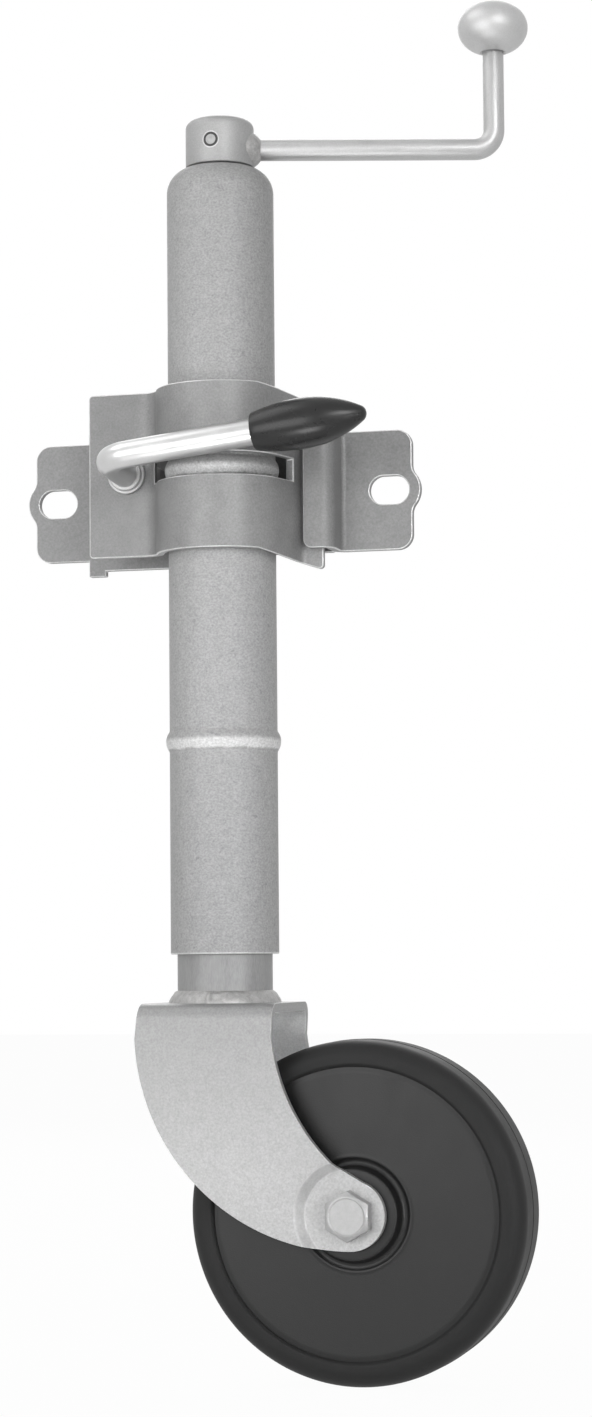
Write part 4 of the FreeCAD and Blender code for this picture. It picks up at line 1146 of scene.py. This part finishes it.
@dataclass
class Stem:
    """Outer tube with what turns in its top."""

    outside: float = 24.15
    wall: float = 2.6
    length: float = 355.0
    shoulder: float = 12.0
    mouth: float = 10.3
    rib_half: float = 4.5
    rib_hollow: float = 0.8
    rib_proud: float = 1.6
    rib_places: tuple[float, float] = (94.8, 216.8)
    rim_wide: float = 1.2
    rim_tall: float = 0.85
    facets: int = 144

    def rib(self, middle: float, radius: float, half: float, side: int) -> list[Corner]:
        """Corners over one rib's outside or along its hollow inside.

        Args:
            middle: place of the rib.
            radius: radius of the wall's face.
            half: half the length of the rib.
            side: 1 for the outside, drawn upwards, or -1 for the inside, drawn downwards.

        Returns:
            The corners, in order.
        """
        steps = 8
        arc = (half ** 2 + self.rib_proud ** 2) / (2 * self.rib_proud)
        corners = []
        for k in range(-steps, steps + 1):
            along = half * k / steps * side
            rise = math.sqrt(arc ** 2 - along ** 2) - arc + self.rib_proud
            corners.append(Corner(radius + rise, middle + along, 0.5 if abs(k) == steps else 0.0))
        return corners

    def profile(self) -> list[Corner]:
        """Section of the tube: rim, two ribs, spun shoulder, and the same inside.

        Returns:
            The profile, in order.
        """
        bore, roof = self.outside - self.wall, self.length - self.wall
        corners = [Corner(bore, 0.0, 0.4), Corner(self.outside, 0.0, 0.5)]
        for middle in self.rib_places:
            corners += self.rib(middle, self.outside, self.rib_half, 1)
        corners += [
            Corner(self.outside, self.length, self.shoulder, 14), Corner(self.mouth, self.length, 0.4),
            Corner(self.mouth, roof, 0.3), Corner(bore, roof, self.shoulder - self.wall, 10)]
        for middle in self.rib_places[::-1]:
            corners += self.rib(middle, bore, self.rib_half * self.rib_hollow, -1)
        return corners

    def rim_profile(self) -> list[Corner]:
        """Section of the ring round the tube's lower rim that is painted lighter as a highlight.

        Returns:
            The profile, in order.
        """
        outside = self.outside + 0.02
        return [
            Corner(outside - self.rim_wide, 0.0), Corner(outside, 0.0, 0.55, 5),
            Corner(outside, self.rim_tall, 0.2), Corner(outside - 0.8, self.rim_tall)]

    def build(self, finishes: FinishSet) -> None:
        """Build the stem's pieces.

        Args:
            finishes: the object's finishes.
        """
        tube = turn_to(spun_mesh(self.profile(), self.facets), Axis.UP.value, RIM_CENTRE)
        install(add_piece("tube_shell", tube, finishes.tube, 40.0), "stem", "galvanised_tube", "outer_tube")
        # Painted highlight: a thin lighter ring on the lower rim's edge.
        rim = turn_to(spun_mesh(self.rim_profile(), self.facets), Axis.UP.value, RIM_CENTRE)
        install(add_piece("rim_highlight", rim, finishes.sheet_edge_highlight), "stem", "galvanised_tube")
        dress("tube_cap", finishes.sheet)
        dress("bearing_race_upper", finishes.hard)
        dress("bearing_cage", finishes.brass)
        dress("bearing_balls", finishes.hard)
        dress("lift_nut", finishes.bronze)


@dataclass
class Crank:
    """Boss, bent rod and knob, with the screw below."""

    arm: float = 124.6
    arm_z: float = 363.6
    bend: float = 9.0
    knob_up: float = 56.0
    knob_half: float = 12.1
    knob_radius: float = 16.0
    knob_fullness: float = 0.92
    knob_dimple: float = 1.2
    rod: float = 4.8
    boss: float = 15.5
    boss_low: float = 355.3
    boss_tall: float = 21.5
    boss_round: float = 4.0
    boss_roof: float = 3.0
    neck: float = 10.0
    pin: float = 3.3
    pin_drop: float = 11.5
    pin_proud: float = 0.45
    weld_up: float = 6.5
    weld_out: float = 3.4
    weld_sunk: float = 0.4
    screw: float = 9.5
    screw_foot: float = 63.7
    collar: float = 15.0
    collar_low: float = 316.0
    collar_high: float = 321.0
    screw_top: float = 373.5
    relief: float = 2.0
    run_out: float = 6.0
    pitch: float = 4.0
    thread: float = 1.6

    @staticmethod
    def turned(x: float, z: float) -> Vector:
        """Point of the crank's upright plane, from the rim's centre."""
        return Vector((x * math.cos(CRANK_ANGLE), x * math.sin(CRANK_ANGLE), z))

    @staticmethod
    def crank_piece(name: str, mesh: BMesh, material: Finish, crease: float, *nodes: str) -> None:
        """Put a piece on the crank."""
        install(add_piece(name, mesh, material, crease), "crank", "zinc_steel", *nodes)

    def knob_profile(self) -> list[Corner]:
        """Section of the flattened ball, with a dimple where the rod enters.

        Returns:
            The profile, from the top down.
        """
        half, wide, rod = self.knob_half, self.knob_radius, self.rod
        corners = [Corner(0.0, half)]
        for turn in range(84, -67, -6):
            angle = math.radians(turn)
            corners.append(Corner(wide * math.cos(angle) ** self.knob_fullness, half * math.sin(angle)))
        corners.append(Corner(rod + self.knob_dimple, -half * 0.95, 0.4))
        return corners + [Corner(rod, -half * 0.84), Corner(0.0, -half * 0.84)]

    def build_boss(self, finishes: FinishSet) -> None:
        """Boss over the screw's neck, and the pin through it with a dark ring of painted shade and a bright
        ring of painted highlight round each end.

        Args:
            finishes: the object's finishes.
        """
        high = self.boss_low + self.boss_tall
        roof = high - self.boss_roof
        profile = [
            Corner(0.0, high), Corner(self.boss, high, self.boss_round, 10),
            Corner(self.boss, self.boss_low, 0.4), Corner(self.neck, self.boss_low),
            Corner(self.neck, roof), Corner(0.0, roof),
        ]
        boss = turn_to(spun_mesh(profile, closed=False), Axis.UP.value, RIM_CENTRE)
        self.crank_piece("boss_shape", boss, finishes.boss, CREASE, "crank_boss")
        centre = RIM_CENTRE + Vector((0, 0, high - self.pin_drop)) * MM
        pin, reach = self.pin, self.boss + self.pin_proud
        dome = [
            Corner(0.0, reach), Corner(pin * 0.3, reach - 0.1), Corner(pin * 0.55, reach - 0.45, 0.3),
            Corner(pin * 0.72, reach - 1.2, 0.2)]
        shape = turn_to(spun_mesh(dome + mirrored(dome), 48, closed=False), Axis.BACK.value, centre)
        install(add_piece("pin_shape", shape, finishes.fastener), "crank", "hardened_steel", "boss_pin")
        for side, sign in (("back", 1.0), ("front", -1.0)):
            # Dark ring of painted shade round the pin, and a lighter ring of painted highlight round that.
            joint = self.boss_ring(centre, sign, pin * 0.7, pin + 0.05, 0.03)
            self.crank_piece("pin_gap_shade_" + side, joint, finishes.joint, SOFT_CREASE)
            rim = self.boss_ring(centre, sign, pin + 0.05, pin + 0.6, 0.12)
            self.crank_piece("pin_rim_highlight_" + side, rim, finishes.sheet_edge_highlight, SOFT_CREASE)

    def boss_ring(self, centre: Vector, sign: float, inner: float, outer: float, rise: float) -> BMesh:
        """Low ring laid on the round boss.

        Args:
            centre: middle of the boss, level with the pin.
            sign: side of the boss, 1 for its back.
            inner: inner radius of the ring.
            outer: outer radius of the ring.
            rise: how far the ring's middle stands out.

        Returns:
            The ring, in metres.
        """
        steps, foot = 48, -0.3
        angles = [math.tau * i / steps for i in range(steps)]
        middle = (inner + outer) / 2
        rings = []
        for radius, lift in ((inner, foot), (inner, rise * 0.4), (middle, rise), (outer, 0.0), (outer, foot)):
            ring = []
            for angle in angles:
                x, z = radius * math.cos(angle), radius * math.sin(angle)
                ring.append(Vector((x, sign * (math.sqrt(self.boss ** 2 - x ** 2) + lift), z)))
            rings.append(ring)
        mesh = skin(rings, loop=True)
        bmesh.ops.translate(mesh, vec=centre, verts=mesh.verts)
        return mesh

    def build_rod(self, finishes: FinishSet) -> None:
        """Bent rod from the boss to the knob.

        Args:
            finishes: the object's finishes.
        """
        low = self.arm_z
        top = low + self.knob_up - self.knob_half * 0.3
        path = [self.turned(self.boss - 0.6, low), self.turned(self.arm, low), self.turned(self.arm, top)]
        mesh = rod_mesh(bent_path(path, self.bend), self.rod, 0.2)
        bmesh.ops.translate(mesh, vec=RIM_CENTRE, verts=mesh.verts)
        self.crank_piece("rod_shape", mesh, finishes.crank, 50.0, "crank_rod")

    def build_screw(self, finishes: FinishSet) -> None:
        """Lift screw with its coarse thread, collar and neck.

        Args:
            finishes: the object's finishes.
        """
        neck, collar, low, high = self.neck, self.collar, self.collar_low, self.collar_high
        end = low - self.relief
        thread = thread_mesh(self.screw, self.screw_foot, end, self.pitch, self.thread, 40, self.run_out)
        upper = spun_mesh([
            Corner(0.0, self.screw_top), Corner(neck, self.screw_top, 0.6), Corner(neck, high),
            Corner(collar, high, 0.4), Corner(collar, low, 0.4), Corner(self.screw, low),
            Corner(self.screw, end - 0.1, 0.3), Corner(0.0, end - 0.1),
        ], 72, closed=False)
        screw = turn_to(merge(thread, upper), Axis.UP.value, RIM_CENTRE)
        install(add_piece("screw_shape", screw, finishes.hard, 45.0), "crank", "hardened_steel", "lift_screw")

    def build_weld(self, finishes: FinishSet) -> None:
        """Uneven cone of weld where the rod meets the boss, flush with the boss's underside.

        Args:
            finishes: the object's finishes.
        """
        sunk = self.weld_sunk
        seat = math.sqrt(self.boss ** 2 - (self.rod + self.weld_up) ** 2) - sunk
        section = bead_section(self.rod, seat, self.weld_up - sunk, self.boss + self.weld_out - seat - sunk)
        place = RIM_CENTRE + Vector((0, 0, self.arm_z)) * MM
        bead = turn_to(ring_bead(section, 0.22), self.turned(1.0, 0.0), place)
        floor = RIM_CENTRE.z + (self.boss_low + 0.1) * MM
        for vertex in bead.verts:
            vertex.co.z = max(vertex.co.z, floor)
        self.crank_piece("crank_bead", bead, finishes.weld, SOFT_CREASE, "crank_weld")

    def build(self, finishes: FinishSet) -> None:
        """Build the crank's pieces.

        Args:
            finishes: the object's finishes.
        """
        centre = RIM_CENTRE + self.turned(self.arm, self.arm_z + self.knob_up) * MM
        knob = turn_to(spun_mesh(self.knob_profile(), 80, closed=False), Axis.UP.value, centre)
        self.crank_piece("knob_shell", knob, finishes.knob, SOFT_CREASE, "crank_knob")
        self.build_boss(finishes)
        self.build_rod(finishes)
        self.build_weld(finishes)
        self.build_screw(finishes)
        for node in ("bearing_race_lower", "screw_stop", "stop_pin"):
            dress(node, finishes.hard)


@dataclass
class Clamp:
    """Bracket, front plate and the screw handle."""

    screw_tip: float = 28.6
    screw_thread_from: float = 2.0
    screw_run_out: float = 2.0
    flange: float = 4.0
    gap: float = 0.3
    washer: float = 8.7
    washer_tall: float = 1.6
    collar: float = 7.5
    collar_gap: float = 0.06
    collar_tall: float = 2.2
    handle_out: float = 38.0
    bend: float = 11.0
    rod: float = 6.0
    pitch: float = 2.0
    thread: float = 1.1
    grip_start: float = 69.6
    grip_long: float = 51.1
    grip_deep: float = 32.0
    grip_mouth: float = 8.35
    grip_fat: float = 11.2
    grip_peak: float = 22.5
    grip_tip: float = 4.0
    nut_flats: float = 19.0
    nut_low: float = 16.1
    nut_high: float = 26.1
    nut_mouth: float = 0.6

    def grip_profile(self) -> list[Corner]:
        """Section of the grip: an arc to its fattest place, a longer one on, and a round tip.

        Returns:
            The profile, from the bottom of the bore to the tip.
        """
        fat, mouth, tip, peak = self.grip_fat, self.grip_mouth, self.grip_tip, self.grip_peak
        rear = (peak ** 2 + (fat - mouth) ** 2) / (2 * (fat - mouth))
        run = self.grip_long - tip - peak
        front = (run ** 2 + fat ** 2 - tip ** 2) / (2 * (fat - tip))
        end = math.asin(run / (front - tip))
        rear_steps, front_steps, tip_steps = 8, 14, 8
        corners = [Corner(0.0, self.grip_deep), Corner(self.rod, self.grip_deep), Corner(self.rod, 0.0, 0.3)]
        for k in range(rear_steps + 1):
            along = peak * k / rear_steps
            radius = fat - rear + math.sqrt(rear ** 2 - (peak - along) ** 2)
            corners.append(Corner(radius, along, 0.0 if k else 0.5))
        for k in range(1, front_steps + 1):
            angle = end * k / front_steps
            corners.append(Corner(fat - front + front * math.cos(angle), peak + front * math.sin(angle)))
        for k in range(1, tip_steps):
            angle = end + (math.pi / 2 - end) * k / tip_steps
            corners.append(Corner(tip * math.cos(angle), self.grip_long - tip + tip * math.sin(angle)))
        return corners + [Corner(0.0, self.grip_long)]

    def build_handle(self, finishes: FinishSet) -> None:
        """Bent rod with its thread and collar, and the grip on it.

        Args:
            finishes: the object's finishes.
        """
        rod, collar, start = self.rod, self.collar, self.screw_thread_from
        seat = self.flange + self.gap + self.washer_tall + self.collar_gap
        face = seat + self.collar_tall
        lift = (self.handle_out - face) * math.tan(HANDLE_LEAN)
        elbow = Vector((0, -self.handle_out, lift))
        end = elbow + Vector((self.grip_start + self.grip_deep - 0.5, 0, 0))
        at_rest = Matrix.Translation(HANDLE_CENTRE) @ Matrix.Rotation(HANDLE_ANGLE, 4, -Axis.BACK.value)
        arm = rod_mesh(bent_path([Vector((0, 0.6 - face, 0)), elbow, end], self.bend), rod, 0.3)
        bmesh.ops.transform(arm, matrix=at_rest, verts=arm.verts)
        piece = add_piece("handle_arm", arm, finishes.bright, 45.0)
        install(piece, "clamp_handle", "bright_steel", "handle_rod")
        thread = thread_mesh(rod, -self.screw_tip, -start, self.pitch, self.thread, 48, self.screw_run_out)
        plain = spun_mesh([
            Corner(0.0, -start - 0.2), Corner(rod, -start - 0.2, 0.3), Corner(rod, seat),
            Corner(collar, seat, 0.3), Corner(collar, face, 0.7), Corner(rod - 0.5, face), Corner(0.0, face),
        ], 72, closed=False)
        screw = turn_to(merge(thread, plain), -Axis.BACK.value, HANDLE_CENTRE)
        piece = add_piece("clamp_screw_shape", screw, finishes.fastener, 45.0)
        install(piece, "clamp_handle", "bright_steel")
        direction = Vector((math.cos(HANDLE_ANGLE), 0.0, math.sin(HANDLE_ANGLE)))
        place = at_rest @ (Vector((self.grip_start, -self.handle_out, lift)) * MM)
        grip = turn_to(spun_mesh(self.grip_profile(), 80, closed=False), direction, place)
        piece = add_piece("grip_shell", grip, finishes.grip, SOFT_CREASE)
        install(piece, "clamp_handle", "black_plastic", "handle_grip")

    def build_washer(self, finishes: FinishSet) -> None:
        """Washer behind the handle's collar.

        Args:
            finishes: the object's finishes.
        """
        low, bore = self.flange + self.gap, self.rod + 0.1
        high = low + self.washer_tall
        profile = [
            Corner(bore, low), Corner(self.washer, low, 0.2), Corner(self.washer, high, 0.5),
            Corner(bore, high, 0.2)]
        washer = turn_to(spun_mesh(profile, 72), -Axis.BACK.value, HANDLE_CENTRE)
        piece = add_piece("washer_disc", washer, finishes.fastener)
        install(piece, "clamp_washer", "zinc_steel", "handle_washer")

    def build_nut(self, finishes: FinishSet) -> None:
        """Clamp nut, seated on the back plate.

        Args:
            finishes: the object's finishes.
        """
        low, high, bore, mouth = -self.nut_high, -self.nut_low, self.rod + 0.06, self.nut_mouth
        rings = hexagon_rings(self.nut_flats, low, high, self.nut_flats * 0.49)
        rings += [round_ring(bore + mouth, high), round_ring(bore, high - mouth), round_ring(bore, low)]
        nut = turn_to(skin(rings, loop=True), -Axis.BACK.value, HANDLE_CENTRE)
        install(add_piece("clamp_nut_shape", nut, finishes.fastener), "bracket", "zinc_steel", "clamp_nut")

    def build(self, finishes: FinishSet) -> None:
        """Build the clamp's pieces.

        Args:
            finishes: the object's finishes.
        """
        # The eased cut edges take a lighter finish: painted highlight.
        edges = finishes.sheet_edge_highlight
        for node in ("base_plate", "hook_ear"):
            eased_piece(node, "bracket", "zinc_steel", finishes.sheet, edges, 0.5)
        dress("bracket_weld", finishes.weld)
        eased_piece("front_clamp_plate", "clamp_plate", "zinc_steel", finishes.plate, edges, 0.7)
        self.build_nut(finishes)
        self.build_washer(finishes)
        self.build_handle(finishes)


@dataclass(frozen=True)
class Lamp:
    """Soft square lamp, out of the camera's sight.

    Its place, side and aim are in metres, its power in watts and the angle of its beam in degrees.
    """

    name: str
    place: tuple[float, float, float]
    side: float
    power: float
    aim: tuple[float, float, float] = (0.03, -0.03, -0.1)
    beam: float = 180.0

    def hang(self) -> None:
        """Add the lamp to the scene."""
        data = bpy.data.lights.new(self.name, "AREA")
        data.shape = "SQUARE"
        data.size = self.side
        data.energy = self.power
        data.spread = math.radians(self.beam)
        lamp = bpy.data.objects.new(self.name, data)
        lamp.visible_camera = False
        lamp.location = self.place
        lamp.rotation_euler = (Vector(self.aim) - lamp.location).to_track_quat("-Z", "Y").to_euler()
        bpy.context.collection.objects.link(lamp)


@dataclass
class Studio:
    """Camera, floor and soft light."""

    camera_place: Vector = field(default_factory=lambda: Vector((403.503, -1435.483, -209.0)) * MM)
    yaw: float = math.radians(14.4586)
    pitch: float = math.radians(4.2683)
    roll: float = math.radians(-0.4708)
    focal_pixels: float = 3267.265
    frame_height: float = 1417.0
    centre_shift: float = 1.212
    sensor: float = 36.0
    nearest: float = 0.05
    floor_half: float = 6.0
    floor_drop: float = 0.2
    floor_glow: float = 0.97
    world_light: float = 0.20
    lamps: tuple[Lamp, ...] = (
        Lamp("front_left", (-0.5, -1.4, -0.2), 1.1, 11.5, (0.03, -0.03, -0.17)),
        Lamp("right_fill", (0.75, -1.15, 0.45), 0.5, 0.32, (0.03, -0.03, 0.07), 32.0),
        Lamp("low_front", (0.06, -0.4, -0.37), 0.2, 0.11, (0.03, -0.06, 0.04), 60.0),
        Lamp("fork_fill", (1.0, -1.0, -0.34), 0.3, 0.20, (0.06, -0.02, -0.28), 26.0),
        Lamp("top_left", (-0.9, -0.5, 1.3), 1.0, 5.0),
        Lamp("back_fill", (-0.35, 1.5, 0.9), 1.2, 11.0),
    )

    def add_camera(self) -> None:
        """Place the camera at the photograph's view."""
        forward = Vector((
            -math.sin(self.yaw) * math.cos(self.pitch), math.cos(self.yaw) * math.cos(self.pitch),
            math.sin(self.pitch)))
        level = Vector((math.cos(self.yaw), math.sin(self.yaw), 0.0))
        above = level.cross(forward)
        right = level * math.cos(self.roll) + above * math.sin(self.roll)
        up = above * math.cos(self.roll) - level * math.sin(self.roll)
        data = bpy.data.cameras.new("camera")
        data.sensor_fit = "VERTICAL"
        data.sensor_height = self.sensor
        data.lens = self.sensor * self.focal_pixels / self.frame_height
        data.shift_y = self.centre_shift / self.frame_height
        data.clip_start = self.nearest
        camera = bpy.data.objects.new("camera", data)
        turn = Matrix((right, up, -forward)).transposed().to_4x4()
        camera.matrix_world = Matrix.Translation(self.camera_place) @ turn
        bpy.context.collection.objects.link(camera)
        bpy.context.scene.camera = camera

    def add_floor(self) -> None:
        """Pale floor that keeps the shadow and shows white to the camera."""
        mesh = bmesh.new()
        bmesh.ops.create_grid(mesh, x_segments=4, y_segments=4, size=self.floor_half)
        bmesh.ops.translate(mesh, vec=(0.0, 0.0, WHEEL_FOOT - self.floor_drop * MM), verts=mesh.verts)
        graph = Surface("pale_floor")
        colour = graph.blend(graph.noise(60.0, 3.0), grey(0.86), grey(0.90))
        matt = graph.node("ShaderNodeBsdfDiffuse", {}, {"Color": colour})
        glow = graph.node("ShaderNodeEmission", {}, {"Color": WHITE, "Strength": 1.0})
        share = (graph.ray("Is Camera Ray") + graph.ray("Is Glossy Ray")) * self.floor_glow
        mixed = graph.node("ShaderNodeMixShader", {}, {0: share, 1: matt, 2: glow})
        graph.close("ShaderNodeOutputMaterial", mixed)
        add_piece("floor", mesh, graph.owner)

    def add_world(self) -> None:
        """White surroundings for the camera and for reflections, softer as a light."""
        world = bpy.data.worlds.new("studio")
        bpy.context.scene.world = world
        graph = Graph(world)
        seen = graph.ray("Is Camera Ray").larger(graph.ray("Is Glossy Ray"))
        seen = seen.larger(graph.ray("Is Transmission Ray"))
        soft, plain = (
            graph.node("ShaderNodeBackground", {}, {"Color": WHITE, "Strength": strength})
            for strength in (self.world_light, 1.0))
        mixed = graph.node("ShaderNodeMixShader", {}, {0: seen, 1: soft, 2: plain})
        graph.close("ShaderNodeOutputWorld", mixed)

    def build(self) -> None:
        """Set the whole stage."""
        self.add_camera()
        self.add_floor()
        self.add_world()
        for lamp in self.lamps:
            lamp.hang()
        bpy.context.scene.view_settings.view_transform = "Standard"


def main() -> None:
    """Build every sub-assembly and the stage."""
    logging.basicConfig(level=logging.INFO, format="%(name)s %(message)s")
    Studio().build()
    finishes = FinishSet()
    for part in (Clamp(), Stem(), Crank(), Caster(), Wheel()):
        LOG.info("building %s", type(part).__name__)
        part.build(finishes)


if __name__ == "__main__":
    main()
